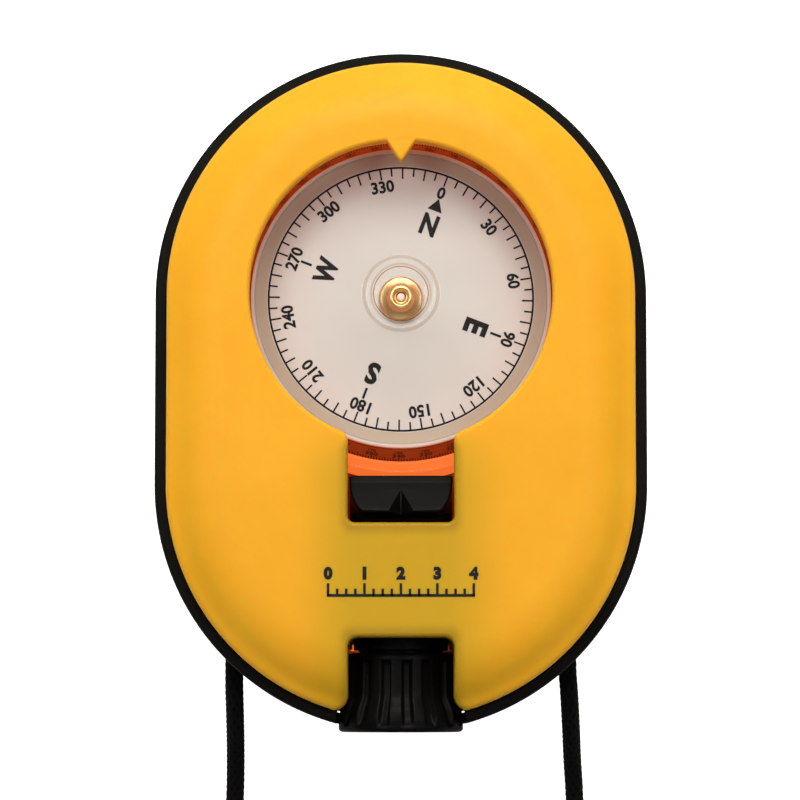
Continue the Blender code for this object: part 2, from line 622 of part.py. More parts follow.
def focus_ring_mesh():
    """Ribbed ring: its grooves fade out at both ends and it flares at the eye."""
    outer = [(RING_RADIUS - 0.3 * MM, RING_START, 0.0), (RING_RADIUS, RING_START + 0.3 * MM, 0.0),
             (RING_RADIUS, RING_START + 0.8 * MM, 0.0), (RING_RADIUS, RING_START + 1.2 * MM, 1.0),
             (RING_RADIUS + 0.1 * MM, 34.2 * MM, 1.0), (RING_RADIUS + 0.7 * MM, 35.4 * MM, 1.0),
             (RING_FLARE_RADIUS, 36.4 * MM, 1.0), (RING_FLARE_RADIUS, 37.2 * MM, 0.6),
             (RING_FLARE_RADIUS - 0.1 * MM, 37.7 * MM, 0.0), (RING_FLARE_RADIUS - 0.5 * MM, RING_END, 0.0)]
    inner = [(4.4 * MM, RING_END, 0.0), (3.2 * MM, 37.0 * MM, 0.0), (3.2 * MM, 36.7 * MM, 0.0),
             (RING_BORE, 36.7 * MM, 0.0), (RING_BORE, RING_START, 0.0)]
    steps = GROOVES * GROOVE_STEPS
    bm = bmesh.new()
    rings = []
    for radius, height, groove in outer + inner:
        ring = []
        for i in range(steps):
            dip = max(0.0, cos(tau * i / GROOVE_STEPS)) * GROOVE_DEPTH * groove
            reach, angle = radius - dip, tau * i / steps
            ring.append(bm.verts.new((reach * cos(angle), reach * sin(angle), height)))
        rings.append(ring)
    for near, far in zip(rings, rings[1:] + rings[:1]):
        for i in range(steps):
            j = (i + 1) % steps
            bm.faces.new((near[i], near[j], far[j], far[i]))
    return mesh_from("focus_ring", bm)


# Lanyard


def make_ferrules():
    profile = [(0, -FERRULE_NEAR), (FERRULE_RADIUS - 0.4 * MM, -FERRULE_NEAR),
               (FERRULE_RADIUS, -FERRULE_NEAR + 0.4 * MM), (FERRULE_RADIUS, -FERRULE_FAR),
               (0, -FERRULE_FAR)]
    for side, word in ((-1, "left"), (1, "right")):
        mesh = turned_mesh("cord_ferrule_" + word, profile, 12)
        place("cord_ferrule_" + word, mesh, "steel", (side * CORD_X, 0, MID_HEIGHT), TOWARDS_EYE)


def smooth_route(points, spacing):
    """Points at even steps on a smooth curve that passes through the given ones."""
    knots = [Vector(p) * MM for p in points]
    knots = [2 * knots[0] - knots[1]] + knots + [2 * knots[-1] - knots[-2]]
    fine = []
    for a, b, c, d in zip(knots, knots[1:], knots[2:], knots[3:]):
        for i in range(16):
            t = i / 16
            fine.append(0.5 * (2 * b + (c - a) * t + (2 * a - 5 * b + 4 * c - d) * t ** 2
                               + (3 * b - a - 3 * c + d) * t ** 3))
    fine.append(knots[-2])
    lengths = [0.0]
    for a, b in zip(fine, fine[1:]):
        lengths.append(lengths[-1] + (b - a).length)
    count = round(lengths[-1] / spacing)
    route = []
    for step in range(count + 1):
        goal = lengths[-1] * step / count
        i = min(sum(1 for s in lengths[1:] if s < goal), len(fine) - 2)
        share = (goal - lengths[i]) / (lengths[i + 1] - lengths[i])
        route.append(fine[i].lerp(fine[i + 1], share))
    return route


CORD_ROUTES = {
    "cord_left": [
        (-18.7, -22.9, 10.0), (-18.7, -26.5, 10.0), (-18.7, -31.0, 10.0), (-18.7, -33.6, 9.6),
        (-18.7, -37.0, 7.2), (-18.8, -40.4, 3.6), (-18.9, -44.0, 1.5), (-19.0, -48.0, 1.15),
        (-18.9, -52.5, 1.15), (-18.0, -57.0, 1.15), (-16.6, -61.0, 1.3),
    ],
    "cord_right": [
        (18.7, -22.9, 10.0), (18.7, -26.5, 10.0), (18.7, -31.0, 10.0), (18.9, -33.8, 9.5),
        (19.2, -37.4, 6.8), (19.5, -41.0, 3.2), (19.8, -44.8, 1.4), (19.9, -49.0, 1.15),
        (19.4, -53.5, 1.6), (18.0, -58.0, 3.4), (16.7, -61.6, 5.4),
    ],
}


def make_cords():
    for name, points in CORD_ROUTES.items():
        curve = bpy.data.curves.new(name, "CURVE")
        curve.dimensions = "3D"
        curve.bevel_depth = CORD_RADIUS
        curve.bevel_resolution = 2
        curve.use_fill_caps = True
        route = smooth_route(points, 2.4 * CORD_DIAMETER)
        spline = curve.splines.new("POLY")
        spline.points.add(len(route) - 1)
        for point, spot in zip(spline.points, route):
            point.co = (*spot, 1.0)
        place(name, curve, "cord_black")


def make_coil():
    inner = COIL_MEAN_RADIUS - COIL_HALF_WIDTH
    outer = COIL_MEAN_RADIUS + COIL_HALF_WIDTH
    top = COIL_BASE + COIL_HEIGHT
    soft = 0.6 * MM
    ring = [
        (inner + soft, COIL_BASE), (outer - soft, COIL_BASE),
        (outer, COIL_BASE + soft), (outer, top - soft),
        (outer - soft, top), (inner + soft, top),
        (inner, top - soft), (inner, COIL_BASE + soft),
    ]
    place("cord_coil", turned_mesh("cord_coil", ring, 36, True), "cord_black", (0, COIL_Y, 0))
    space = 0.3 * MM
    y_near, y_far = COIL_Y - inner + space + 0.9 * MM, COIL_Y - outer - space
    strap = box_outline(y_far - TIE_THICKNESS, y_near + TIE_THICKNESS,
                        0.05 * MM, top + space + TIE_THICKNESS)
    hollow = box_outline(y_far, y_near, COIL_BASE - space, top + space)
    tie_mesh = cross_prism_mesh("cord_tie", strap, -TIE_HALF_WIDTH, TIE_HALF_WIDTH)
    cut_mesh = cross_prism_mesh("tie_cut", hollow, -TIE_HALF_WIDTH - MM, TIE_HALF_WIDTH + MM)
    tie = place("cord_tie", tie_mesh, "black_rubber")
    shape_with(tie, place("tie_cut", cut_mesh, "steel"), "DIFFERENCE")


for old in list(bpy.data.objects):
    bpy.data.objects.remove(old, do_unlink=True)
MATERIALS = {name: make_material(name, *finish) for name, finish in FINISHES.items()}
make_front_cover()
make_back_cover()
make_bumper_band()
make_capsule()
make_card()
make_magnet()
make_sight_block()
make_eyepiece()
make_ferrules()
make_cords()
make_coil()
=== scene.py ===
"""Looks of the hand sighting compass: fine surfaces, print, materials, cord, light and camera.

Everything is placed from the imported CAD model.  Shapes are worked out in
millimetres and turned into metres when a piece is made.
"""

import json
from math import asin, atan2, cos, degrees, hypot, pi, radians, sin, tan, tau

import bmesh
import bpy
import numpy as np
from mathutils import Matrix, Vector


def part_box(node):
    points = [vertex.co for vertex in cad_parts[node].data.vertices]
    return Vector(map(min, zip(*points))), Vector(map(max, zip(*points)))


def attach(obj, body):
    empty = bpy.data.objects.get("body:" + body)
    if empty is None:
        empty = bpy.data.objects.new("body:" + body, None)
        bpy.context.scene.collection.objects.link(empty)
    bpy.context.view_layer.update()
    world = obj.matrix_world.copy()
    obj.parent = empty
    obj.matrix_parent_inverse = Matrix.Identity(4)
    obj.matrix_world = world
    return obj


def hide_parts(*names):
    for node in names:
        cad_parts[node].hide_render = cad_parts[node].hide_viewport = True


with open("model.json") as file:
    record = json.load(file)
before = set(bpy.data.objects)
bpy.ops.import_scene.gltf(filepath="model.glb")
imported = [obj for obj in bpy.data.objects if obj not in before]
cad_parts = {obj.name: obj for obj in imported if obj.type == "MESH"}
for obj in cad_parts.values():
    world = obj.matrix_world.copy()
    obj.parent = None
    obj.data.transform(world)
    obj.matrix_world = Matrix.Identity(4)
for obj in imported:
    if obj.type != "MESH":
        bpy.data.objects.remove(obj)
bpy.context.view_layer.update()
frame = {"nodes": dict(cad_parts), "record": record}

MM = 0.001
TO_METRES = Matrix.Scale(MM, 4)


# Sizes read from the frame, in millimetres


def box_mm(node):
    low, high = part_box(node)
    return low / MM, high / MM


band_low, band_high = box_mm("bumper_band")
_, cover_high = box_mm("front_cover")
cup_low, cup_high = box_mm("capsule_cup")
lid_low, lid_high = box_mm("capsule_lid")
_, card_high = box_mm("dial_card")
skirt_low, skirt_high = box_mm("scale_skirt")
_, hub_high = box_mm("hub_cap")
jewel_low, jewel_high = box_mm("pivot_jewel")
ring_low, ring_high = box_mm("focus_ring")
_, sleeve_high = box_mm("eyepiece_sleeve")
block_low, block_high = box_mm("sight_block")
coil_low, coil_high = box_mm("cord_coil")
tie_low, tie_high = box_mm("cord_tie")

END_RADIUS = band_high.x
END_OFFSET = band_high.y - END_RADIUS
MID = (band_low.z + band_high.z) / 2
TOP = cover_high.z
HALF_THICK = TOP - MID
BAND_HALF = (band_high.z - band_low.z) / 2
COVER_INSET = END_RADIUS - cover_high.x
DIAL_Y = (cup_low.y + cup_high.y) / 2
LIP_TOP = card_high.z
DIAL_TOP = LIP_TOP - 0.9
LIP_RADIUS = card_high.x
SKIRT_RADIUS = skirt_high.x
SKIRT_FOOT = skirt_low.z
SKIRT_HEAD = skirt_high.z
LID_TOP = lid_high.z
HUB_RADIUS = hub_high.x
HUB_TOP = hub_high.z
INK = 0.012

SLOT_SOUTH = block_low.y - 0.2
NOTCH_START = -27.6

AT_DIAL = Matrix.Translation((0, DIAL_Y, 0))
AT_EYE = Matrix.Translation((0, 0, MID)) @ Matrix.Rotation(pi / 2, 4, "X")


# Camera

CAMERA_DISTANCE = 0.42
CAMERA_ELEVATION = radians(85.3)
VIEW_WIDTH = 0.09034
AIM = Vector((-0.1 * MM, -0.7 * MM, MID * MM))


def make_camera():
    data = bpy.data.cameras.new("camera")
    data.sensor_width = 36
    data.lens = 36 * CAMERA_DISTANCE / VIEW_WIDTH
    data.clip_start = 0.01
    camera = bpy.data.objects.new("camera", data)
    bpy.context.scene.collection.objects.link(camera)
    away = Vector((0, -cos(CAMERA_ELEVATION), sin(CAMERA_ELEVATION)))
    camera.location = AIM + away * CAMERA_DISTANCE
    camera.rotation_euler = (-away).to_track_quat("-Z", "Y").to_euler()
    bpy.context.scene.camera = camera


# Node trees


def new_material(name, colour=(0.5, 0.5, 0.5), roughness=0.5, metallic=0.0, **sockets):
    """A Principled material; returns it with its tree and shader."""
    material = bpy.data.materials.new(name)
    material.use_nodes = True
    tree = material.node_tree
    shader = tree.nodes["Principled BSDF"]
    shader.inputs["Base Color"].default_value = (*colour, 1)
    shader.inputs["Roughness"].default_value = roughness
    shader.inputs["Metallic"].default_value = metallic
    for socket, value in sockets.items():
        shader.inputs[socket.replace("_", " ")].default_value = value
    return material, tree, shader


def add(tree, kind, inputs=None, **settings):
    """A node with its inputs set: a socket is linked, anything else is a value."""
    node = tree.nodes.new("ShaderNode" + kind)
    for key, value in settings.items():
        setattr(node, key, value)
    for key, value in (inputs or {}).items():
        if isinstance(value, bpy.types.NodeSocket):
            tree.links.new(value, node.inputs[key])
        else:
            node.inputs[key].default_value = value
    return node


def object_coords(tree):
    return add(tree, "TexCoord").outputs["Object"]


def noise(tree, scale, detail=3.0, roughness=0.55, vector=None):
    vector = vector or object_coords(tree)
    inputs = {"Vector": vector, "Scale": scale, "Detail": detail, "Roughness": roughness}
    return add(tree, "TexNoise", inputs).outputs["Fac"]


def spread(tree, value, low, high, start=0.3, end=0.7):
    """Map a texture's middle range to low..high."""
    inputs = {"Value": value, "From Min": start, "From Max": end, "To Min": low, "To Max": high}
    return add(tree, "MapRange", inputs).outputs["Result"]


def blend_colours(tree, factor, first, second):
    node = tree.nodes.new("ShaderNodeMix")
    node.data_type = "RGBA"
    for index, value in ((0, factor), (6, first), (7, second)):
        if isinstance(value, bpy.types.NodeSocket):
            tree.links.new(value, node.inputs[index])
        else:
            node.inputs[index].default_value = value if index == 0 else (*value, 1)
    return node.outputs[2]


def roughen(tree, shader, height, strength, distance):
    inputs = {"Height": height, "Strength": strength, "Distance": distance}
    tree.links.new(add(tree, "Bump", inputs).outputs["Normal"], shader.inputs["Normal"])


def math(tree, operation, first, second=0.0):
    return add(tree, "Math", {0: first, 1: second}, operation=operation).outputs[0]


def radial(tree, centre):
    """Distance in the XY plane from a centre in metres."""
    vector = add(tree, "VectorMath", {0: object_coords(tree), 1: (*centre, 0)}, operation="SUBTRACT")
    flat = add(tree, "VectorMath", {0: vector.outputs[0], 1: (1, 1, 0)}, operation="MULTIPLY")
    return add(tree, "VectorMath", {0: flat.outputs[0]}, operation="LENGTH").outputs["Value"]


def strip_distance(tree, middle, half):
    """Distance in the XY plane from a rectangle, in metres."""
    vector = add(tree, "VectorMath", {0: object_coords(tree), 1: (*middle, 0)}, operation="SUBTRACT")
    size = add(tree, "VectorMath", {0: vector.outputs[0]}, operation="ABSOLUTE")
    past = add(tree, "VectorMath", {0: size.outputs[0], 1: (*half, 1)}, operation="SUBTRACT")
    past = add(tree, "VectorMath", {0: past.outputs[0], 1: (0, 0, 0)}, operation="MAXIMUM")
    return add(tree, "VectorMath", {0: past.outputs[0]}, operation="LENGTH").outputs["Value"]


def ramp(tree, value, low, high):
    """0 at low and 1 at high, eased at both ends."""
    inputs = {"Value": value, "From Min": low, "From Max": high}
    return add(tree, "MapRange", inputs, interpolation_type="SMOOTHERSTEP").outputs["Result"]


def moulded(name, colour, second, roughness, grain, bump, **sockets):
    """Moulded plastic or rubber: cloudy colour, fine grain, uneven gloss."""
    material, tree, shader = new_material(name, colour, roughness, **sockets)
    cloud = spread(tree, noise(tree, 130, 4), 0, 1)
    tree.links.new(blend_colours(tree, cloud, colour, second), shader.inputs["Base Color"])
    speck = noise(tree, grain, 4, 0.7)
    tree.links.new(
        spread(tree, speck, roughness - 0.06, roughness + 0.08), shader.inputs["Roughness"])
    roughen(tree, shader, speck, 0.35, bump)
    return material


def make_yellow():
    """Moulded yellow with painted shade: deeper and greener along the strip from the slot to the eyepiece's
    notch, and more at their edges.
    """
    colour, second = (0.80, 0.40, 0.016), (0.84, 0.43, 0.022)
    material = moulded("yellow_plastic", colour, second, 0.44, 3200, 0.00003, Specular_IOR_Level=0.13,
                       Subsurface_Weight=0.75, Subsurface_Scale=0.0016, Subsurface_Radius=(1.0, 0.45, 0.12))
    tree = material.node_tree
    shader = tree.nodes["Principled BSDF"]
    plain = shader.inputs["Base Color"].links[0].from_socket
    # painted shade: the plastic is darkened and greened along the strip between the slot and the notch,
    # where it lies in shade
    middle = (SLOT_SOUTH + NOTCH_START) / 2 * MM
    strip_shade_mask = ramp(tree, strip_distance(tree, (0, middle), (0.0035, 0.010)), 0.0, 0.0105)
    strip_shaded = blend_colours(tree, strip_shade_mask, (0.58, 0.355, 0.014), plain)
    # painted shade: a darker band along the slot's and the notch's edges
    slot = strip_distance(tree, (0, (SLOT_SOUTH + 4) * MM), (0.0053, 0.0038))
    notch = strip_distance(tree, (0, (NOTCH_START - 10) * MM), (0.0053, 0.0098))
    edge = ramp(tree, math(tree, "MINIMUM", slot, notch), 0.0002, 0.0021)
    shaded = blend_colours(tree, edge, (0.40, 0.245, 0.011), strip_shaded)
    tree.links.new(shaded, shader.inputs["Base Color"])
    return material


def make_ink(name, colour):
    """Printed ink, with an edge of thin and thick spots."""
    material, tree, shader = new_material(name, colour, 0.55, Specular_IOR_Level=0.1)
    spots = spread(tree, noise(tree, 4000, 3), 0, 1)
    thin = tuple(min(1, c * 2.2 + 0.006) for c in colour)
    tree.links.new(blend_colours(tree, spots, colour, thin), shader.inputs["Base Color"])
    roughen(tree, shader, noise(tree, 9000, 2), 0.2, 0.00001)
    return material


def make_metal(name, colour, dark, roughness, centre):
    """Turned metal: fine rings round a centre, with slight tarnish."""
    material, tree, shader = new_material(name, colour, roughness, 1.0)
    rings = add(tree, "CombineXYZ", {0: radial(tree, centre)}).outputs[0]
    lines = noise(tree, 14000, 2, 0.6, rings)
    tarnish = spread(tree, noise(tree, 900, 4), 0, 1)
    tree.links.new(blend_colours(tree, tarnish, colour, dark), shader.inputs["Base Color"])
    tree.links.new(
        spread(tree, lines, roughness - 0.05, roughness + 0.1), shader.inputs["Roughness"])
    roughen(tree, shader, lines, 0.25, 0.000012)
    return material


def make_clear(name, tint, strength, roughness):
    """Thin clear sheet: reflects by angle and lets the rest through unbent."""
    material = bpy.data.materials.new(name)
    material.use_nodes = True
    tree = material.node_tree
    tree.nodes.clear()
    clear = add(tree, "BsdfTransparent", {"Color": (*tint, 1)})
    wave = add(tree, "Bump", {"Height": noise(tree, 260, 2), "Strength": 0.15, "Distance": 0.00004})
    gloss = add(tree, "BsdfGlossy", {"Color": (1, 1, 1, 1), "Normal": wave.outputs["Normal"]})
    smear = spread(tree, noise(tree, 500, 4), roughness, roughness + 0.06)
    tree.links.new(smear, gloss.inputs["Roughness"])
    fresnel = add(tree, "Fresnel", {"IOR": 1.49, "Normal": wave.outputs["Normal"]})
    share = math(tree, "MULTIPLY", fresnel.outputs["Fac"], strength)
    mix = add(tree, "MixShader", {0: share, 1: clear.outputs[0], 2: gloss.outputs[0]})
    out = add(tree, "OutputMaterial")
    tree.links.new(mix.outputs[0], out.inputs["Surface"])
    return material


# painted glow: the orange acrylic's emission makes it bright however the lamps fall on it
ACRYLIC_PAINTED_GLOW = 0.88


def make_acrylic(name, right):
    """Fluorescent orange acrylic with a painted glow; on the right a painted shade dims the glow to the
    share right of that on the left.
    """
    colour, glow = (1.0, 0.165, 0.018), ACRYLIC_PAINTED_GLOW
    material, tree, shader = new_material(
        name, colour, 0.3, Emission_Strength=glow, Specular_IOR_Level=0.1)
    side = add(tree, "SeparateXYZ", {0: object_coords(tree)}).outputs[0]
    # painted shade: the glow falls to the right side's share across x = 0
    inputs = {"Value": side, "From Min": -0.001, "From Max": 0.001, "To Min": glow, "To Max": glow * right}
    tree.links.new(add(tree, "MapRange", inputs).outputs["Result"], shader.inputs["Emission Strength"])
    shader.inputs["Emission Color"].default_value = (1.0, 0.178, 0.031, 1)
    cloud = spread(tree, noise(tree, 160, 3), 0, 1)
    tree.links.new(blend_colours(tree, cloud, (0.16, 0.03, 0.004), (0.22, 0.045, 0.006)),
                   shader.inputs["Base Color"])
    roughen(tree, shader, noise(tree, 1500, 3), 0.1, 0.00002)
    return material


def make_cord_material():
    """Braided polyester: strands cross in two directions, with a dull fuzz."""
    colour = (0.006, 0.0055, 0.0055)
    material, tree, shader = new_material(
        "cord_black", colour, 0.85, Sheen_Weight=0.015, Sheen_Roughness=0.5, Specular_IOR_Level=0.05)
    place = add(tree, "SeparateXYZ", {0: add(tree, "UVMap").outputs[0]})
    along = math(tree, "MULTIPLY", place.outputs[0], tau)
    across = math(tree, "MULTIPLY", place.outputs[1], tau * 8)
    first = math(tree, "SINE", math(tree, "ADD", along, across))
    second = math(tree, "SINE", math(tree, "SUBTRACT", along, across))
    weave = math(tree, "MAXIMUM", first, second)
    fuzz = noise(tree, 7000, 4, 0.7)
    height = math(tree, "ADD", weave, math(tree, "MULTIPLY", fuzz, 1.4))
    shade = spread(tree, height, 0, 1, -0.2, 2.2)
    tree.links.new(
        blend_colours(tree, shade, (0.001, 0.001, 0.001), (0.005, 0.005, 0.0045)),
        shader.inputs["Base Color"])
    roughen(tree, shader, height, 0.6, 0.00009)
    return material


def make_materials():
    dial_centre = (0, DIAL_Y * MM)
    return {
        "yellow_plastic": make_yellow(),
        "black_rubber": moulded(
            "black_rubber", (0.0035, 0.0035, 0.0028), (0.007, 0.007, 0.006), 0.62, 2600, 0.00004,
            Specular_IOR_Level=0.06),
        "black_plastic": moulded(
            "black_plastic", (0.0016, 0.0016, 0.0012), (0.003, 0.003, 0.0026), 0.40, 3800, 0.00003,
            Specular_IOR_Level=0.06),
        "dial_white": moulded(
            "dial_white", (0.55, 0.555, 0.55), (0.58, 0.585, 0.58), 0.55, 5200, 0.00001,
            Specular_IOR_Level=0.25),
        # painted shade: a darker, warmer copy of the dial plastic for the sunk ring between the print and
        # the lip
        "dial_rim_shade": moulded(
            "dial_rim_shade", (0.41, 0.36, 0.29), (0.44, 0.39, 0.32), 0.5, 5200, 0.00001,
            Specular_IOR_Level=0.25),
        "scale_brown": moulded(
            "scale_brown", (0.23, 0.095, 0.022), (0.28, 0.115, 0.027), 0.5, 5200, 0.00001,
            Specular_IOR_Level=0.1),
        "grey_foam": moulded(
            "grey_foam", (0.22, 0.22, 0.22), (0.34, 0.34, 0.34), 0.9, 1800, 0.0002),
        "ink_black": make_ink("ink_black", (0.006, 0.006, 0.007)),
        "ink_brown": make_ink("ink_brown", (0.016, 0.006, 0.003)),
        "brass": make_metal("brass", (0.90, 0.69, 0.36), (0.76, 0.54, 0.25), 0.33, dial_centre),
        # darker, redder brass; on the hub's inner mouth it is painted shade in the recess
        "brass_dark": make_metal("brass_dark", (0.80, 0.42, 0.16), (0.62, 0.28, 0.08), 0.3, dial_centre),
        "steel": make_metal("steel", (0.60, 0.60, 0.60), (0.48, 0.48, 0.48), 0.25, dial_centre),
        "magnet_nickel": make_metal(
            "magnet_nickel", (0.45, 0.45, 0.43), (0.36, 0.36, 0.34), 0.35, dial_centre),
        "clear_acrylic": make_clear("clear_acrylic", (1.0, 0.995, 0.985), 0.22, 0.02),
        # painted refraction: tinted sheets for the lid's rings over the hub
        "lid_refraction_amber": make_clear("lid_refraction_amber", (0.82, 0.62, 0.42), 0.7, 0.1),
        "lid_refraction_haze": make_clear("lid_refraction_haze", (0.93, 0.895, 0.86), 0.7, 0.2),
        "lens_glass": make_clear("lens_glass", (0.96, 0.99, 0.98), 1.0, 0.01),
        "orange_acrylic": make_acrylic("orange_acrylic", 1.0),
        # painted shade: the eyepiece's cradle glows on its right at only 0.12 of its left
        "orange_shaded": make_acrylic("orange_shaded", 0.12),
        "cord_black": make_cord_material(),
        "sapphire": moulded(
            "sapphire", (0.90, 0.74, 0.68), (0.95, 0.85, 0.80), 0.12, 900, 0.00001, Coat_Weight=0.6),
    }


# Mesh tools


def link(obj):
    bpy.context.scene.collection.objects.link(obj)
    return obj


def smoothed(mesh, sharp):
    mesh.shade_smooth()
    mesh.set_sharp_from_angle(angle=radians(sharp))
    return mesh


def make_piece(name, bm, material, body, replaced=(), sharp=32, weighted=False):
    """A finished piece from a bmesh in millimetres."""
    bmesh.ops.recalc_face_normals(bm, faces=bm.faces)
    bm.transform(TO_METRES)
    mesh = bpy.data.meshes.new(name)
    bm.to_mesh(mesh)
    bm.free()
    smoothed(mesh, sharp)
    names = material if isinstance(material, (list, tuple)) else [material]
    for entry in names:
        mesh.materials.append(MATERIALS[entry])
    obj = link(bpy.data.objects.new(name, mesh))
    if weighted:
        weight = obj.modifiers.new("weight", "WEIGHTED_NORMAL")
        weight.keep_sharp = True
        obj.data = bpy.data.meshes.new_from_object(obj.evaluated_get(bpy.context.evaluated_depsgraph_get()))
        obj.modifiers.clear()
        obj.data.name = name
    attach(obj, body)
    if replaced:
        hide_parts(*replaced)
    return obj


def arc(centre, radius, start, end, steps):
    """Points on an arc between two angles in degrees."""
    turns = [radians(start + (end - start) * i / steps) for i in range(steps + 1)]
    return [(centre[0] + radius * cos(t), centre[1] + radius * sin(t)) for t in turns]


def smooth_through(points, steps):
    """Points on a Catmull-Rom curve through the given ones."""
    knots = [Vector(p) for p in points]
    knots = [2 * knots[0] - knots[1]] + knots + [2 * knots[-1] - knots[-2]]
    fine = []
    for a, b, c, d in zip(knots, knots[1:], knots[2:], knots[3:]):
        for i in range(steps):
            t = i / steps
            fine.append(0.5 * (2 * b + (c - a) * t + (2 * a - 5 * b + 4 * c - d) * t ** 2
                               + (3 * b - a - 3 * c + d) * t ** 3))
    fine.append(knots[-2])
    return fine


def softened(points, radius, closed=False, steps=4, only=None):
    """Round a polyline's corners; only names the corners to round."""
    count = len(points)
    spots = [Vector(p) for p in points]
    out = []
    for i, p in enumerate(spots):
        if (not closed and i in (0, count - 1)) or (only is not None and i not in only):
            out.append(p)
            continue
        to_last, to_next = spots[i - 1] - p, spots[(i + 1) % count] - p
        cut = min(radius, to_last.length * 0.48, to_next.length * 0.48)
        start, end = p + to_last.normalized() * cut, p + to_next.normalized() * cut
        for k in range(steps + 1):
            t = k / steps
            out.append((1 - t) ** 2 * start + 2 * t * (1 - t) * p + t * t * end)
    return [tuple(v) for v in out]


def turned(profile, segments, closed=False):
    """Turn a profile of (radius, height) pairs about Z."""
    bm = bmesh.new()
    verts = [bm.verts.new((r, 0, z)) for r, z in profile]
    edges = [bm.edges.new(pair) for pair in zip(verts, verts[1:])]
    if closed:
        edges.append(bm.edges.new((verts[-1], verts[0])))
    bmesh.ops.spin(
        bm, geom=verts + edges, axis=(0, 0, 1), cent=(0, 0, 0), dvec=(0, 0, 0),
        angle=tau, steps=segments, use_merge=True,
    )
    bmesh.ops.remove_doubles(bm, verts=bm.verts, dist=1e-5)
    return bm


def lofted(rings, closed=False, caps=True):
    """Join equally long rings of points into a skin."""
    bm = bmesh.new()
    rows = [[bm.verts.new(p) for p in ring] for ring in rings]
    pairs = list(zip(rows, rows[1:]))
    if closed:
        pairs.append((rows[-1], rows[0]))
    for low, high in pairs:
        for i in range(len(low)):
            j = (i + 1) % len(low)
            bm.faces.new((low[i], low[j], high[j], high[i]))
    if caps and not closed:
        bm.faces.new(list(reversed(rows[0])))
        bm.faces.new(rows[-1])
    bmesh.ops.recalc_face_normals(bm, faces=bm.faces)
    return bm


def rod(radius, low, high, segments, place):
    bm = turned([(0, low), (radius, low), (radius, high), (0, high)], segments)
    bm.transform(place)
    bmesh.ops.recalc_face_normals(bm, faces=bm.faces)
    return bm


def shaped(bm, tools):
    """Apply (bmesh, operation) tools to a bmesh, in turn."""
    made = []
    for number, shape in enumerate([bm] + [tool for tool, _ in tools]):
        mesh = bpy.data.meshes.new(f"shape_{number}")
        shape.to_mesh(mesh)
        shape.free()
        made.append(link(bpy.data.objects.new(f"shape_{number}", mesh)))
    for guide, (_, operation) in zip(made[1:], tools):
        step = made[0].modifiers.new(guide.name, "BOOLEAN")
        step.operation = operation
        step.object = guide
    result = bmesh.new()
    result.from_object(made[0], bpy.context.evaluated_depsgraph_get())
    for obj in made:
        mesh = obj.data
        bpy.data.objects.remove(obj, do_unlink=True)
        bpy.data.meshes.remove(mesh)
    return result


# Body covers and band

BODY_ARC = 96
COVER_SHAPE = [
    (0.0, 6.2), (0.0, 6.55), (0.04, 6.8), (0.14, 7.03), (0.32, 7.24), (0.6, 7.42), (1.1, 7.68),
    (1.6, 8.0), (2.1, 8.36), (2.7, 8.76), (3.4, 9.14), (4.2, 9.47), (5.1, 9.73), (6.1, 9.91), (7.0, 10.0),
]
WALL = 1.8
PLATE = 1.7
WINDOW_RADIUS = 16.8
SLOT_HALF = block_high.x + 0.2
SLOT_CORNER = 0.75
POINTER_TIP = 14.5
POINTER_HALF = 1.5
NOTCH_HALF = 5.85
NOTCH_CORNER = 1.1
NOTCH_FLARE = 1.6
NOTCH_FLARE_START = -34.0
EDGE_ROUND = 0.5
CORD_X = 18.7
CORD_HOLE = 1.4


def stadium(inset, steps=BODY_ARC):
    radius = END_RADIUS - inset
    front = arc((0, END_OFFSET), radius, 0, 180, steps)
    return front + arc((0, -END_OFFSET), radius, 180, 360, steps)


def swept_stadium(profile, closed):
    """Sweep (inset, height above the middle) round the body's outline."""
    rings = [[(x, y, MID + z) for x, y in stadium(inset)] for inset, z in profile]
    return lofted(rings, closed)


OUTER_SHAPE = [tuple(p) for p in smooth_through(COVER_SHAPE[1:-1], 3)] + [COVER_SHAPE[-1]]
SHAPE_INSETS = np.array([p[0] for p in OUTER_SHAPE])
SHAPE_HEIGHTS = np.array([p[1] for p in OUTER_SHAPE])


def cover_height(x, y):
    """Height of the cover's outside above the middle."""
    reach = hypot(x, y - max(-END_OFFSET, min(END_OFFSET, y)))
    inset = END_RADIUS - COVER_INSET - reach
    return float(np.interp(max(inset, 0.3), SHAPE_INSETS, SHAPE_HEIGHTS))


def outwards(outline):
    """Mitred outward steps at each corner of a closed outline that runs counter-clockwise."""
    steps = []
    count = len(outline)
    for i, p in enumerate(outline):
        last, after = Vector(outline[i - 1]), Vector(outline[(i + 1) % count])
        a, b = (Vector(p) - last).normalized(), (after - Vector(p)).normalized()
        first, second = Vector((a.y, -a.x)), Vector((b.y, -b.x))
        middle = (first + second).normalized()
        steps.append(middle / max(0.5, middle.dot(first)))
    return steps


def rounded_cutter(outline, low):
    """Opening with its top edge rounded over, following the cover's surface."""
    steps = outwards(outline)
    rings = [[(x, y, MID + low) for x, y in outline]]
    levels = [(EDGE_ROUND * (1 - cos(radians(t))), EDGE_ROUND * (sin(radians(t)) - 1))
              for t in (0, 16, 32, 48, 64, 78)]
    levels.append((EDGE_ROUND * 1.1, EDGE_ROUND * 0.1))
    for shift, drop in levels:
        ring = []
        for (x, y), step in zip(outline, steps):
            x2, y2 = x + step.x * shift, y + step.y * shift
            ring.append((x2, y2, MID + cover_height(x2, y2) + drop))
        rings.append(ring)
    rings.append([(x, y, TOP + 2) for x, y, _ in rings[-1]])
    return lofted(rings)


def run(start, end, step):
    """Points from start up to but not at end, about step apart."""
    count = max(1, round((Vector(end) - Vector(start)).length / step))
    return [tuple(Vector(start).lerp(Vector(end), i / count)) for i in range(count)]


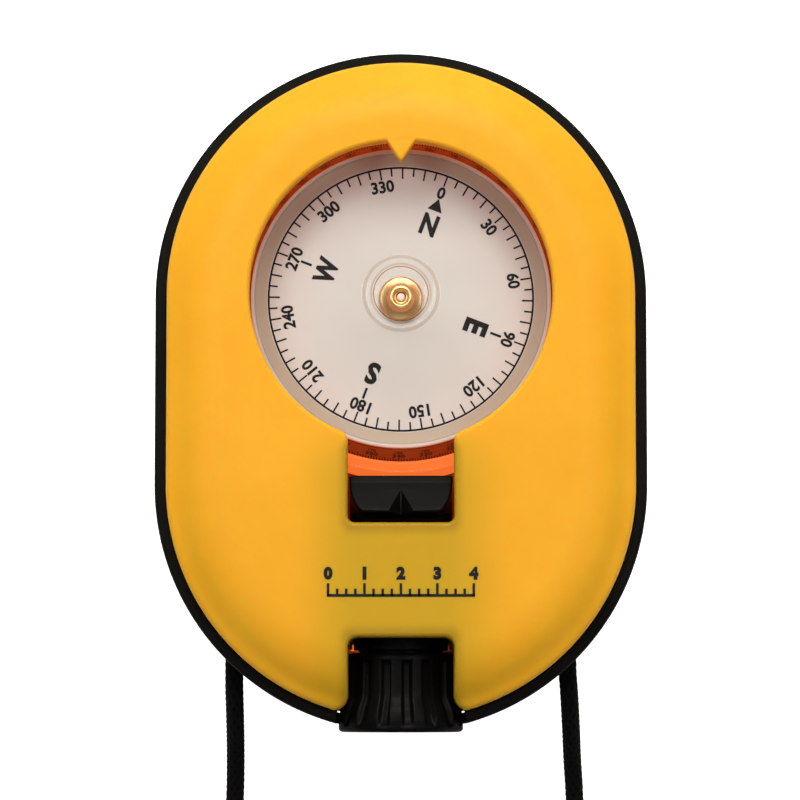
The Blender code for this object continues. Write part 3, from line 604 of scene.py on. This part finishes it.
def window_outline():
    slot_angle = degrees(asin(SLOT_HALF / WINDOW_RADIUS))
    corner_y = DIAL_Y - WINDOW_RADIUS * cos(radians(slot_angle))
    right = arc((SLOT_HALF - SLOT_CORNER, SLOT_SOUTH + SLOT_CORNER), SLOT_CORNER, 270, 360, 8)
    side = [(SLOT_HALF, corner_y - 2.2), (SLOT_HALF, corner_y)]
    swing = arc((0, DIAL_Y), WINDOW_RADIUS, slot_angle - 90 + 6.5, 90, 80)
    half = right + softened(side + swing[:1], 0.9, steps=6) + swing[1:-1]
    return half + [(0, DIAL_Y + WINDOW_RADIUS)] + [(-x, y) for x, y in reversed(half)]


def notch_outline():
    corner = (NOTCH_HALF - NOTCH_CORNER, NOTCH_START - NOTCH_CORNER)
    flare = (NOTCH_HALF + NOTCH_FLARE, NOTCH_FLARE_START)
    right = arc(corner, NOTCH_CORNER, 90, 0, 10)
    right += run((NOTCH_HALF, corner[1] - 0.4), (NOTCH_HALF, NOTCH_FLARE_START), 0.4)
    right += arc(flare, NOTCH_FLARE, 180, 270, 10)
    right += [(flare[0], flare[1] - 3.0), (flare[0], -60)]
    return right[::-1] + [(-x, y) for x, y in right]


def pointer():
    """Wedge that points at the dial from the window's far side."""
    lean = atan2(POINTER_HALF, WINDOW_RADIUS - POINTER_TIP - 0.1)
    far = DIAL_Y + WINDOW_RADIUS + 1.6
    tip = DIAL_Y + POINTER_TIP
    rings = []
    levels = [(0, HALF_THICK - PLATE)] + [
        (0.3 * (1 - cos(radians(t))), HALF_THICK - 0.02 - 0.3 * (1 - sin(radians(t))))
        for t in (0, 25, 50, 72, 88)]
    for shift, height in levels:
        start = tip + shift / sin(lean)
        half = (far - tip) * tan(lean) - shift / cos(lean)
        neck = 0.12
        rings.append([(neck, start + neck / tan(lean) * 0.6, MID + height), (half, far, MID + height),
                      (-half, far, MID + height), (-neck, start + neck / tan(lean) * 0.6, MID + height)])
    return lofted(rings)


def pocket_block(side):
    """Walls that stand round the eyepiece inside a cover."""
    wall = NOTCH_START + 1.2
    edge = [(wall, 0.2), (wall, 8.7), (-31.5, 8.7), (-33.0, 7.4), (-34.3, 5.4), (-34.3, 0.2)]
    half = NOTCH_HALF + 1.75
    return lofted([[(x, y, MID + side * z) for y, z in edge] for x in (-half, half)])


def cover_tools(side):
    tools = [(pocket_block(side), "UNION")]
    if side > 0:
        tools.append((rounded_cutter(window_outline(), HALF_THICK - PLATE - 1.0), "DIFFERENCE"))
        tools.append((pointer(), "UNION"))
    notch = rounded_cutter(notch_outline(), -1.0)
    if side < 0:
        notch.transform(Matrix.Translation((0, 0, 2 * MID)) @ Matrix.Scale(-1, 4, (0, 0, 1)))
        bmesh.ops.recalc_face_normals(notch, faces=notch.faces)
    tools.append((notch, "DIFFERENCE"))
    neck, flare = sleeve_high.x + 0.2, ring_high.x + 0.3
    tools.append((rod(neck, 15, 29, 64, AT_EYE), "DIFFERENCE"))
    tools.append((rod(6.3, 28.85, 36, 64, AT_EYE), "DIFFERENCE"))
    tools.append((rod(flare, 34.4, 42, 64, AT_EYE), "DIFFERENCE"))
    for x in (-CORD_X, CORD_X):
        hole = rod(CORD_HOLE, 22.8, 40, 32, Matrix.Translation((x, 0, 0)) @ AT_EYE)
        tools.append((hole, "DIFFERENCE"))
    return tools


def make_cover(name, node, side):
    inside = COVER_INSET + WALL
    profile = [(inside + 1.4, HALF_THICK - PLATE), (inside + 0.4, HALF_THICK - PLATE - 0.4),
               (inside, HALF_THICK - PLATE - 1.4), (inside, 0.1), (COVER_INSET, 0.1)]
    profile += [(COVER_INSET + d, h) for d, h in OUTER_SHAPE]
    shell = swept_stadium([(d, side * h) for d, h in profile], False)
    shell = shaped(shell, cover_tools(side))
    return make_piece(name, shell, "yellow_plastic", "housing", [node], 38, True)


def make_band():
    """Rubber band round the parting line, softly rounded outside."""
    depth = 2.4
    half = [(depth, 0.6), (1.2, 0.6), (1.2, BAND_HALF), (0.5, BAND_HALF), (0.22, BAND_HALF - 0.1),
            (0.06, BAND_HALF - 0.35), (0.0, BAND_HALF - 0.8), (0.0, 1.2)]
    profile = half + [(d, -h) for d, h in reversed(half)]
    band = swept_stadium(profile, True)
    round_ring = [(0, 33), (6.5, 33), (6.5, 34.4), (7.05, 35.4), (7.25, 36), (7.25, 42), (0, 42)]
    clear = turned(round_ring, 96)
    clear.transform(AT_EYE)
    bmesh.ops.recalc_face_normals(clear, faces=clear.faces)
    front = [(7.2, -42), (7.2, -32), (-7.2, -32), (-7.2, -42)]
    over = lofted([[(x, y, z) for x, y in front] for z in (MID + 0.6, TOP)])
    tools = [(clear, "DIFFERENCE"), (over, "DIFFERENCE")]
    for x in (-CORD_X, CORD_X):
        place = Matrix.Translation((x, 0, 0)) @ AT_EYE
        tools.append((rod(CORD_HOLE, 22, 42, 32, place), "DIFFERENCE"))
    band = shaped(band, tools)
    make_piece("rubber_band", band, "black_rubber", "housing", ["bumper_band"], 40, True)


# Capsule


def make_capsule():
    rim, bore, floor, base = cup_high.z, 18.6, 4.0, cup_low.z
    radius = cup_high.x
    cup = softened([(0, base), (radius, base), (radius, rim), (bore, rim), (bore, floor), (0, floor)], 0.35)
    bm = turned(cup, 160)
    bm.transform(AT_DIAL)
    make_piece("capsule_bowl", bm, "orange_acrylic", "housing", ["capsule_cup"], 40)
    top, low, edge = LID_TOP - 0.12, lid_low.z, lid_high.x
    # the moulded rings over the hub, from the lid's edge to its middle
    face = [(edge, top), (4.5, top), (4.35, top + 0.03), (4.15, top + 0.1), (4.0, top + 0.12),
            (3.85, top + 0.1), (3.65, top + 0.02), (3.45, top), (3.12, top), (3.08, top - 0.1),
            (2.95, top - 0.15), (0, top - 0.15)]
    lid = softened([(0, low), (edge, low), (edge, top), face[1]], 0.25)[:-1] + face[1:]
    bm = turned(lid, 160)
    bm.transform(AT_DIAL)
    make_piece("capsule_window", bm, "clear_acrylic", "housing", ["capsule_lid"], 25)
    # painted refraction: tinted rings over the lid stand in for light bent by its moulded rings
    rings = bmesh.new()
    # painted refraction: inner and outer radius, height, 0 for amber or 1 for haze
    refraction_bands = ((2.98, 3.1, top - 0.1, 0), (3.2, 3.42, top + INK, 1), (3.95, 4.32, top + 0.125, 1))
    for inner, outer, height, tone in refraction_bands:
        high = height + INK
        line = turned([(inner, height), (outer, height), (outer, high), (inner, high)], 96, True)
        for face in line.faces:
            face.material_index = tone
        mesh = bpy.data.meshes.new("line")
        line.to_mesh(mesh)
        line.free()
        rings.from_mesh(mesh)
        bpy.data.meshes.remove(mesh)
    rings.transform(AT_DIAL)
    make_piece("capsule_refraction_rings", rings, ["lid_refraction_amber", "lid_refraction_haze"], "housing")


# Card and its print

CARD_TURN = 20.8
DIAL_RADIUS = 14.9


def glyph(text, bold=0.0):
    """Flat outline of a text, centred, one unit high: its points and faces."""
    curve = bpy.data.curves.new("glyph", "FONT")
    curve.body = text
    curve.offset = bold
    curve.resolution_u = 3
    obj = link(bpy.data.objects.new("glyph", curve))
    mesh = bpy.data.meshes.new_from_object(obj.evaluated_get(bpy.context.evaluated_depsgraph_get()))
    points = np.array([v.co[:2] for v in mesh.vertices])
    faces = [tuple(f.vertices) for f in mesh.polygons]
    bpy.data.objects.remove(obj)
    bpy.data.curves.remove(curve)
    bpy.data.meshes.remove(mesh)
    low, high = points.min(0), points.max(0)
    return (points - (low + high) / 2) / (high[1] - low[1]), faces


class Print:
    """Printed marks gathered into one thin raised piece; wrap puts (across, up) on the surface."""

    def __init__(self, thickness):
        self.bm = bmesh.new()
        self.thickness = thickness

    def shape(self, points, faces, wrap):
        verts = [self.bm.verts.new(wrap(u, v)) for u, v in points]
        for face in faces:
            self.bm.faces.new([verts[i] for i in face])

    def text(self, text, height, wrap, width=1.0, bold=0.0):
        points, faces = glyph(text, bold)
        self.shape(points * (height * width, height), faces, wrap)

    def bar(self, low_u, high_u, low_v, high_v, wrap):
        corners = [(low_u, low_v), (high_u, low_v), (high_u, high_v), (low_u, high_v)]
        self.shape(corners, [(0, 1, 2, 3)], wrap)

    def make(self, name, material, body):
        bmesh.ops.recalc_face_normals(self.bm, faces=self.bm.faces)
        bmesh.ops.solidify(self.bm, geom=self.bm.faces[:], thickness=-self.thickness)
        return make_piece(name, self.bm, material, body)


def on_dial(bearing, radius):
    """Wrap for marks on the dial: up points to the rim."""
    turn = radians(90 - CARD_TURN - bearing)
    outward, across = Vector((cos(turn), sin(turn))), Vector((sin(turn), -cos(turn)))

    def wrap(u, v):
        spot = outward * (radius + v) + across * u
        return (spot.x, spot.y + DIAL_Y, DIAL_TOP + INK)
    return wrap


SKIRT_TOP_RADIUS = 17.05
SKIRT_SLANT = hypot(SKIRT_RADIUS - SKIRT_TOP_RADIUS, SKIRT_HEAD - SKIRT_FOOT)


def on_skirt(bearing):
    """Wrap for marks on the conical skirt: up points to the card, from the skirt's foot."""
    middle = radians(90 - CARD_TURN - bearing)

    def wrap(u, v):
        share = v / SKIRT_SLANT
        radius = SKIRT_RADIUS + (SKIRT_TOP_RADIUS - SKIRT_RADIUS) * share + INK
        turn = middle + u / SKIRT_RADIUS
        height = SKIRT_FOOT + (SKIRT_HEAD - SKIRT_FOOT) * share
        return (radius * cos(turn), DIAL_Y + radius * sin(turn), height)
    return wrap


def make_dial():
    under = DIAL_TOP - 0.6
    lip = LIP_RADIUS
    dish = smooth_through(
        [(lip - 0.52, LIP_TOP - 0.26), (lip - 0.9, LIP_TOP - 0.42), (lip - 1.4, DIAL_TOP + 0.2),
         (DIAL_RADIUS + 0.32, DIAL_TOP + 0.05), (DIAL_RADIUS + 0.14, DIAL_TOP + 0.01)], 5)
    lip_shape = softened(
        [(lip, DIAL_TOP + 0.1), (lip, LIP_TOP), (lip - 0.4, LIP_TOP), (lip - 0.45, LIP_TOP - 0.3)],
        0.2, steps=5)
    profile = [(1.6, under), (15.2, under), (16.5, DIAL_TOP + 0.1)] + lip_shape + [tuple(p) for p in dish]
    profile += [(DIAL_RADIUS, DIAL_TOP), (1.6, DIAL_TOP)]
    bm = turned(profile, 192, True)
    # painted shade: the sunk ring between the print and the lip takes the darker copy of the dial plastic
    inner, outer = DIAL_RADIUS + 0.16, lip - 0.47
    for face in bm.faces:
        centre = face.calc_center_median()
        reach = hypot(centre.x, centre.y)
        face.material_index = int(inner < reach < outer and centre.z > DIAL_TOP - 0.1)
    bm.transform(AT_DIAL)
    make_piece("dial_face", bm, ["dial_white", "dial_rim_shade"], "card", ["dial_card"], 50)
    marks = Print(INK)
    steps = 192
    for i in range(steps):
        wrap = on_dial(360 * i / steps, 0)
        half = DIAL_RADIUS * tan(pi / steps)
        marks.bar(-half, half, DIAL_RADIUS - 0.12, DIAL_RADIUS + 0.1, wrap)
    bmesh.ops.remove_doubles(marks.bm, verts=marks.bm.verts, dist=0.02)
    for bearing in range(0, 360, 5):
        length = 1.15 if bearing % 10 == 0 else 0.85
        marks.bar(-0.095, 0.095, -length, 0.0, on_dial(bearing, DIAL_RADIUS - 0.12))
    for bearing in range(0, 360, 30):
        marks.text(str(bearing), 1.42, on_dial(bearing, 12.85), 0.96, 0.035)
    # bearing, letter, height, width
    letters = ((0, "N", 2.5, 0.78), (90, "E", 2.7, 0.95), (180, "S", 2.55, 0.92), (270, "W", 2.4, 0.82))
    for bearing, letter, height, width in letters:
        marks.text(letter, height, on_dial(bearing, 9.0), width, 0.045)
        if bearing:
            marks.bar(-0.14, 0.14, 0, 1.3, on_dial(bearing, 10.75))
    marks.shape([(-0.85, 0), (0.85, 0), (0, 1.45)], [(0, 1, 2)], on_dial(0, 10.7))
    marks.make("dial_marks", "ink_black", "card")


def make_skirt():
    head, wide = SKIRT_HEAD, SKIRT_TOP_RADIUS
    edge, foot = SKIRT_RADIUS, SKIRT_FOOT
    profile = softened(
        [(wide - 0.5, head), (wide, head), (edge, foot), (edge - 0.5, foot)], 0.06, True, 2)
    bm = turned(profile, 192, True)
    bm.transform(AT_DIAL)
    make_piece("degree_rim", bm, "scale_brown", "card", ["scale_skirt"], 50)
    marks = Print(INK)
    for degree in range(360):
        length = 1.85 if degree % 10 == 0 else (1.7 if degree % 5 == 0 else 1.45)
        marks.bar(-0.062, 0.062, 0.0, length, on_skirt(degree))
    for bearing in range(0, 360, 10):
        wrap = on_skirt(bearing)
        ahead = (bearing + 180) % 360
        marks.text(str(ahead), 0.98, lambda u, v: wrap(u, v + 2.4), 0.78, 0.02)
        marks.text(str(bearing), 0.66, lambda u, v: wrap(u, v + 3.4), 0.8, 0.02)
    marks.make("degree_marks", "ink_brown", "card")


def make_hub():
    seat = DIAL_TOP + 0.2
    flange = [(1.3, seat - 1.2), (1.3, seat), (HUB_RADIUS - 0.06, seat), (HUB_RADIUS, seat + 0.06),
              (HUB_RADIUS, seat + 0.2), (2.42, seat + 0.3), (2.3, seat + 0.36)]
    dome = smooth_through([(2.3, seat + 0.36), (2.1, seat + 0.44), (1.85, seat + 0.56), (1.6, seat + 0.7),
                           (1.46, seat + 0.86), (1.4, seat + 1.1), (1.36, HUB_TOP - 0.45)], 5)
    mouth = softened([(1.36, HUB_TOP - 0.45), (1.3, HUB_TOP - 0.1), (1.02, HUB_TOP), (0.86, HUB_TOP - 0.1),
                      (0.78, HUB_TOP - 0.3), (0.6, HUB_TOP - 0.34)], 0.09, steps=4)
    profile = [(0.6, seat - 1.2)] + flange + [tuple(p) for p in dome[1:-1]] + mouth
    bm = turned(profile, 128, True)
    # painted shade: the faces inside the hub's mouth take the darker brass
    for face in bm.faces:
        centre = face.calc_center_median()
        inside = hypot(centre.x, centre.y) < 0.8 and centre.z > seat + 0.5
        face.material_index = int(inside)
    bm.transform(AT_DIAL)
    make_piece("hub_boss", bm, ["brass", "brass_dark"], "card", ["hub_cap"], 40)
    low, high = jewel_low.z, jewel_high.z
    stone = smooth_through([(0.48, high - 0.3), (0.42, high - 0.12), (0.28, high - 0.03), (0, high)], 5)
    profile = [(0, low + 0.15), (0.2, low), (0.46, low), (0.48, low + 0.05)] + [tuple(p) for p in stone]
    bm = turned(profile, 48)
    bm.transform(AT_DIAL)
    make_piece("jewel", bm, "sapphire", "card", ["pivot_jewel"], 50)


# Sighting block and eyepiece


def make_block():
    """Black block in the slot: a raised crest with an open V above the sight line's bore."""
    half, foot = block_high.x, block_low.z
    front, back, crest = block_high.y, block_low.y, block_high.z
    # position along the body, height of the top, half width of the top
    sections = [
        (front, 17.2, half - 0.30), (front - 0.05, 17.45, half - 0.14), (front - 0.18, 17.58, half - 0.06),
        (front - 0.7, 17.68, half - 0.05), (front - 0.85, 17.74, half - 0.06), (-11.2, 18.12, half - 0.12),
        (-11.9, 18.48, half - 0.28), (-12.6, 18.84, half - 0.55), (-13.1, 19.1, half - 0.85),
        (-13.5, crest - 0.05, half - 1.18), (-13.66, crest, half - 1.32), (-13.8, crest - 0.06, half - 1.42),
        (-13.95, 18.9, half - 1.5), (-14.2, 17.6, half - 1.5), (-14.45, 17.3, half - 1.4),
        (back, 17.2, half - 1.2),
    ]
    rings = []
    for y, top, wide in sections:
        side = [(half, foot), (half, 16.6), (half - 0.04, 17.0), (wide + 0.12, top - 0.2),
                (wide, top - 0.06), (wide - 0.14, top)]
        rings.append([(x, y, z) for x, z in side] + [(-x, y, z) for x, z in reversed(side)])
    body = lofted(rings)
    floor, reach, rise = 18.16, 2.7, 2.35
    notch = [(0.05, floor), (reach, floor + rise), (-reach, floor + rise), (-0.05, floor)]
    cut = lofted([[(x, -9 - 7 * k, z + 0.1 * k) for x, z in notch] for k in (0, 1)])
    tools = [(rod(2.0, 5, 20, 48, AT_EYE), "DIFFERENCE"), (cut, "DIFFERENCE")]
    body = shaped(body, tools)
    make_piece("sight", body, "black_plastic", "housing", ["sight_block"], 34, True)


GROOVES = 16
GROOVE_TURN = 83.6
GROOVE_DEPTH = 0.62
GROOVE_HALF = 0.52
RIB_RADIUS = 6.0


def groove_share(angle):
    """How deep the ring's grooves run at an angle, from 0 to 1, with round sides."""
    pitch = tau / GROOVES
    off = abs((angle + pitch / 2 - radians(GROOVE_TURN)) % pitch - pitch / 2) * RIB_RADIUS
    if off > GROOVE_HALF + 0.12:
        return 0.0
    if off > GROOVE_HALF - 0.22:
        return 0.5 + 0.5 * cos(pi * (off - GROOVE_HALF + 0.22) / 0.34)
    return 1.0


def make_ring():
    start, end, flare = -ring_high.y, -ring_low.y, ring_high.x
    # radius, distance along the axis, share of the groove's depth
    outer = [(5.62, start, 0), (5.76, start + 0.04, 0), (5.9, start + 0.14, 0), (5.99, start + 0.32, 0),
             (6.02, start + 0.55, 0), (6.02, start + 0.78, 0), (6.02, start + 0.88, 0.25),
             (6.02, start + 0.98, 0.7), (6.02, start + 1.15, 0.96), (6.02, start + 1.4, 1)]
    outer += [(r, h, 1) for r, h in smooth_through(
        [(6.03, 32.0), (6.05, 33.2), (6.13, 34.1), (6.42, 34.85), (6.74, 35.5), (6.93, 36.2)], 4)]
    outer += [(6.97, 36.6, 0.85), (6.99, 36.95, 0.6), (flare - 0.005, 37.15, 0.32), (flare, 37.35, 0.1),
              (flare, 37.55, 0), (6.95, 37.75, 0), (6.84, 37.9, 0), (6.66, 38.01, 0), (6.45, end, 0)]
    inner = [(4.62, end, 0), (4.42, end - 0.06, 0), (4.25, end - 0.22, 0), (3.3, end - 0.98, 0),
             (3.2, end - 1.12, 0), (3.2, end - 1.3, 0), (3.26, end - 1.36, 0), (4.9, end - 1.36, 0),
             (4.9, start, 0)]
    steps = GROOVES * 24
    rings = []
    for radius, height, share in outer + inner:
        turns = [tau * i / steps for i in range(steps)]
        reach = [radius - GROOVE_DEPTH * share * groove_share(t) for t in turns]
        rings.append([(r * cos(t), r * sin(t), height) for r, t in zip(reach, turns)])
    bm = lofted(rings, True)
    bm.transform(AT_EYE)
    make_piece("eye_ring", bm, "black_plastic", "focus_ring", ["focus_ring"], 50)


def make_lathed_eye(name, node, profile, material, body, radius=0.12, segments=96, closed=True):
    bm = turned(softened(profile, radius, closed), segments, closed)
    bm.transform(AT_EYE)
    make_piece(name, bm, material, body, [node], 35)


def make_eyepiece():
    bore = 3.7
    neck_end = -ring_high.y - 0.3
    sleeve = [(bore, 19.5), (5.3, 19.5), (5.3, neck_end), (4.7, neck_end), (4.7, 30.6), (4.15, 30.6),
              (4.15, 31.6), (4.7, 31.6), (4.7, 36.4), (bore, 36.4)]
    make_lathed_eye("eye_tube", "eyepiece_sleeve", sleeve, "black_plastic", "housing")
    seal = arc((4.5, 31.1), 0.28, 0, 330, 11)
    make_lathed_eye("eye_seal", "eyepiece_o_ring", seal, "black_rubber", "housing", 0.01)
    cell = [(2.75, 29.0), (3.5, 29.0), (3.5, 35.4), (2.4, 35.4), (2.4, 34.9), (2.75, 34.9)]
    make_lathed_eye("lens_tube", "lens_cell", cell, "black_plastic", "lens_carriage")
    keeper = [(2.1, 32.0), (2.6, 32.0), (2.6, 32.7), (2.1, 32.7)]
    make_lathed_eye("lens_stop", "lens_keeper", keeper, "black_plastic", "lens_carriage")
    rim, near, far, bulge, steps = 2.6, 33.35, 34.25, 0.45, 14
    shape = [(rim * i / steps, 1 - (i / steps) ** 2) for i in range(steps + 1)]
    lens = [(r, near - bulge * s) for r, s in shape] + [(r, far + bulge * s) for r, s in reversed(shape)]
    make_lathed_eye("magnifier", "eye_lens", lens, "lens_glass", "lens_carriage", 0.01, closed=False)
    make_ring()


RULER_LOW = -23.2
RULER_HALF = 8.0
RULER_LINE = 0.14


def make_ruler():
    """Short printed scale on the cover: 17 ticks, a number at every fourth."""
    marks = Print(INK)
    low, height = RULER_LOW, TOP + INK

    def wrap(u, v):
        return (u, low + v, height)
    marks.bar(-RULER_HALF - RULER_LINE, RULER_HALF + RULER_LINE, 0, 0.32, wrap)
    for step in range(17):
        length = 1.5 if step % 4 == 0 else 0.9
        middle = step - RULER_HALF
        marks.bar(middle - RULER_LINE, middle + RULER_LINE, 0.1, length, wrap)
    for step in range(5):
        marks.text(str(step), 1.45, lambda u, v: wrap(u + 4 * step - RULER_HALF, v + 2.6), 1.0, 0.07)
    marks.make("cover_scale", "ink_black", "housing")


# Cord

CORD_DIAMETER = 2.1
CORD_ROUTES = {
    "left": [
        (-18.7, -22.9, 10.0), (-18.7, -26.5, 10.0), (-18.7, -31.0, 10.0), (-18.7, -33.6, 9.6),
        (-18.7, -37.0, 7.2), (-18.8, -40.4, 3.6), (-18.9, -44.0, 1.5), (-19.0, -48.0, 1.15),
        (-18.9, -52.5, 1.15), (-18.0, -57.0, 1.15), (-16.6, -61.0, 1.3),
    ],
    "right": [
        (18.7, -22.9, 10.0), (18.7, -26.5, 10.0), (18.7, -31.0, 10.0), (18.9, -33.8, 9.5),
        (19.2, -37.4, 6.8), (19.5, -41.0, 3.2), (19.8, -44.8, 1.4), (19.9, -49.0, 1.15),
        (19.4, -53.5, 1.6), (18.0, -58.0, 3.4), (16.7, -61.6, 5.4),
    ],
}
COIL_COLUMNS = 3
COIL_LAYERS = 4
# angles in degrees along the winding: where it starts and ends, and where it steps to the next turn
COIL_START = 192
COIL_END = 4302
SHIFT_START = 425
SHIFT_SPAN = 50


def coil_slots():
    """(radius, height) of each turn: across one layer and back across the next."""
    middle = (coil_high.x + coil_middle_hole()) / 2
    slots = []
    for layer in range(COIL_LAYERS):
        columns = [middle + CORD_DIAMETER * (1 - k) for k in range(COIL_COLUMNS)]
        if layer % 2:
            columns.reverse()
        height = coil_low.z + CORD_DIAMETER * (layer + 0.5)
        slots += [(radius, height) for radius in columns]
    return slots


def coil_middle_hole():
    return coil_high.x - COIL_COLUMNS * CORD_DIAMETER


def eased(share):
    share = min(1.0, max(0.0, share))
    return share * share * (3 - 2 * share)


def coil_points():
    """The cord's centre line round the coil: it steps to the next slot over a short span of each turn."""
    slots = coil_slots()
    centre_y = (coil_low.y + coil_high.y) / 2
    points = []
    for turn in range(COIL_START, COIL_END, 12):
        radius, height = slots[0]
        for k, (last, after) in enumerate(zip(slots, slots[1:])):
            share = (turn - SHIFT_START - 360 * k) / SHIFT_SPAN
            climbs = after[1] != last[1]
            radius += (after[0] - last[0]) * eased(share * 2 - 1)
            height += (after[1] - last[1]) * eased(share * 2) if climbs else 0
        angle = radians(turn)
        points.append((radius * cos(angle), centre_y + radius * sin(angle), height))
    return points


def cord_points():
    inward = [(-15.1, -64.4, 1.6)]
    outward = [(14.1, -69.2, 8.1), (15.35, -66.2, 7.5), (16.1, -63.8, 6.5)]
    return CORD_ROUTES["left"] + inward + coil_points() + outward + CORD_ROUTES["right"][::-1]


def even_steps(points, spacing):
    points = np.array([tuple(p) for p in points])
    lengths = np.concatenate([[0], np.cumsum(np.linalg.norm(np.diff(points, axis=0), axis=1))])
    goals = np.linspace(0, lengths[-1], max(2, round(lengths[-1] / spacing) + 1))
    return np.stack([np.interp(goals, lengths, points[:, k]) for k in range(3)], 1), lengths[-1]


CORD_SIDES = 16
CORD_STEP = 0.4
BRAID_PITCH = 1.6


def make_cord():
    """One braided cord from the left ferrule, round the coil and back to the right ferrule."""
    line, length = even_steps(smooth_through(cord_points(), 8), CORD_STEP)
    along = np.gradient(line, axis=0)
    along /= np.linalg.norm(along, axis=1)[:, None]
    normal = np.cross(along[0], (0, 0, 1))
    bm = bmesh.new()
    uv = bm.loops.layers.uv.new("cord")
    rows = []
    for i, (spot, heading) in enumerate(zip(line, along)):
        normal = normal - heading * np.dot(normal, heading)
        normal /= np.linalg.norm(normal)
        side = np.cross(heading, normal)
        row = []
        for k in range(CORD_SIDES):
            turn = tau * k / CORD_SIDES
            swell = 0.035 * (1 if (i + k) % 2 else -1) * (1 if k % 2 else 0.6)
            reach = CORD_DIAMETER / 2 - 0.03 + swell
            row.append(bm.verts.new(spot + reach * (normal * cos(turn) + side * sin(turn))))
        rows.append(row)
    for i, (row, after) in enumerate(zip(rows, rows[1:])):
        for k in range(CORD_SIDES):
            j = (k + 1) % CORD_SIDES
            face = bm.faces.new((row[k], row[j], after[j], after[k]))
            for loop, (u, v) in zip(face.loops, ((i, k), (i, k + 1), (i + 1, k + 1), (i + 1, k))):
                loop[uv].uv = (u * CORD_STEP / BRAID_PITCH, v / CORD_SIDES)
    for row in (rows[0][::-1], rows[-1]):
        bm.faces.new(row)
    nodes = ["cord_left", "cord_right", "cord_coil"]
    cord = make_piece("neck_cord", bm, "cord_black", "housing", nodes, 80)
    tie = make_tie()


def make_tie():
    """Rubber strap looped round the coil."""
    thick = 0.5
    (y_low, z_low), (y_high, z_high) = tie_low.yz, tie_high.yz
    outer = [(y_low, z_low), (y_high, z_low), (y_high, z_high), (y_low, z_high)]
    inner = [(y_low + thick, z_low + thick), (y_high - thick, z_low + thick),
             (y_high - thick, z_high - thick), (y_low + thick, z_high - thick)]
    rounds = [softened(outer, 1.5, True, 8), softened(inner, 1.1, True, 8)]
    half = tie_high.x
    shape = [(0, -half + 0.15), (0, half - 0.15), (0.08, half - 0.04), (0.2, half), (0.8, half),
             (1, half - 0.1), (1, -half + 0.1), (0.8, -half), (0.2, -half), (0.08, -half + 0.04)]
    rings = []
    for share, x in shape:
        rings.append([(x, a[0] + (b[0] - a[0]) * share, a[1] + (b[1] - a[1]) * share)
                      for a, b in zip(*rounds)])
    strap = lofted(rings, True)
    return make_piece("coil_strap", strap, "black_rubber", "housing", ["cord_tie"], 40)


# Floor, light and the other CAD pieces


FLOOR_GLOW = 1.0


def make_floor():
    """Pale floor that the camera sees as bright as the photograph's background."""
    bm = bmesh.new()
    bmesh.ops.create_grid(bm, x_segments=1, y_segments=1, size=1.5)
    mesh = bpy.data.meshes.new("floor")
    bm.to_mesh(mesh)
    bm.free()
    floor = link(bpy.data.objects.new("floor", mesh))
    floor.location.z = -0.00005
    material, tree, shader = new_material("floor", (0.9, 0.9, 0.9), 0.9, Specular_IOR_Level=0.2)
    cloud = spread(tree, noise(tree, 40, 3), 0, 1)
    tree.links.new(
        blend_colours(tree, cloud, (0.9, 0.9, 0.9), (0.93, 0.93, 0.93)), shader.inputs["Base Color"])
    glow = add(tree, "Emission", {"Color": (1, 1, 1, 1), "Strength": FLOOR_GLOW})
    seen = add(tree, "LightPath").outputs["Is Camera Ray"]
    dark = add(tree, "Emission", {"Color": (1, 1, 1, 1), "Strength": 0.0})
    lit = add(tree, "MixShader", {0: seen, 1: dark.outputs[0], 2: glow.outputs[0]})
    whole = add(tree, "AddShader", {0: shader.outputs[0], 1: lit.outputs[0]})
    tree.links.new(whole.outputs[0], tree.nodes["Material Output"].inputs["Surface"])
    mesh.materials.append(material)


# name, place, size, watts, colour
LIGHTS = (
    ("key", (0.0, 0.30, 0.36), (0.34, 0.20), 1.95, (1.0, 0.93, 0.84)),
    ("left", (-0.27, 0.12, 0.58), (0.22, 0.22), 1.0, (1, 1, 1)),
    ("right", (0.27, 0.10, 0.58), (0.22, 0.22), 0.95, (1, 1, 1)),
    ("south", (0.0, -0.30, 0.58), (0.22, 0.22), 0.25, (1, 1, 1)),
)
WORLD_STRENGTH = 0.1


def make_lights():
    for name, place, size, watts, colour in LIGHTS:
        data = bpy.data.lights.new(name, "AREA")
        data.shape = "RECTANGLE"
        data.size, data.size_y = size
        data.energy = watts
        data.color = colour
        light = link(bpy.data.objects.new(name, data))
        light.location = place
        light.rotation_euler = (AIM - Vector(place)).to_track_quat("-Z", "Y").to_euler()
    world = bpy.data.worlds.new("studio")
    world.use_nodes = True
    background = world.node_tree.nodes["Background"]
    background.inputs["Color"].default_value = (1, 1, 1, 1)
    background.inputs["Strength"].default_value = WORLD_STRENGTH
    bpy.context.scene.world = world
    bpy.context.scene.view_settings.view_transform = "Standard"


def finish_cad_pieces():
    """Give each CAD piece that still shows its own material."""
    for entry in frame["record"]["subparts"]:
        node = frame["nodes"][entry["node"]]
        if not node.hide_render:
            node.data.materials.clear()
            # painted shade: the eyepiece's cradle takes the orange copy shaded on its right
            material = "orange_shaded" if entry["node"] == "eyepiece_cradle" else entry["material_slot"]
            node.data.materials.append(MATERIALS[material])
            smoothed(node.data, 35)


make_camera()
MATERIALS = make_materials()
make_cord()
make_cover("front_shell", "front_cover", 1)
make_cover("back_shell", "back_cover", -1)
make_band()
make_capsule()
make_dial()
make_skirt()
make_hub()
make_block()
make_eyepiece()
make_ruler()
finish_cad_pieces()
make_floor()
make_lights()
bpy.context.view_layer.update()
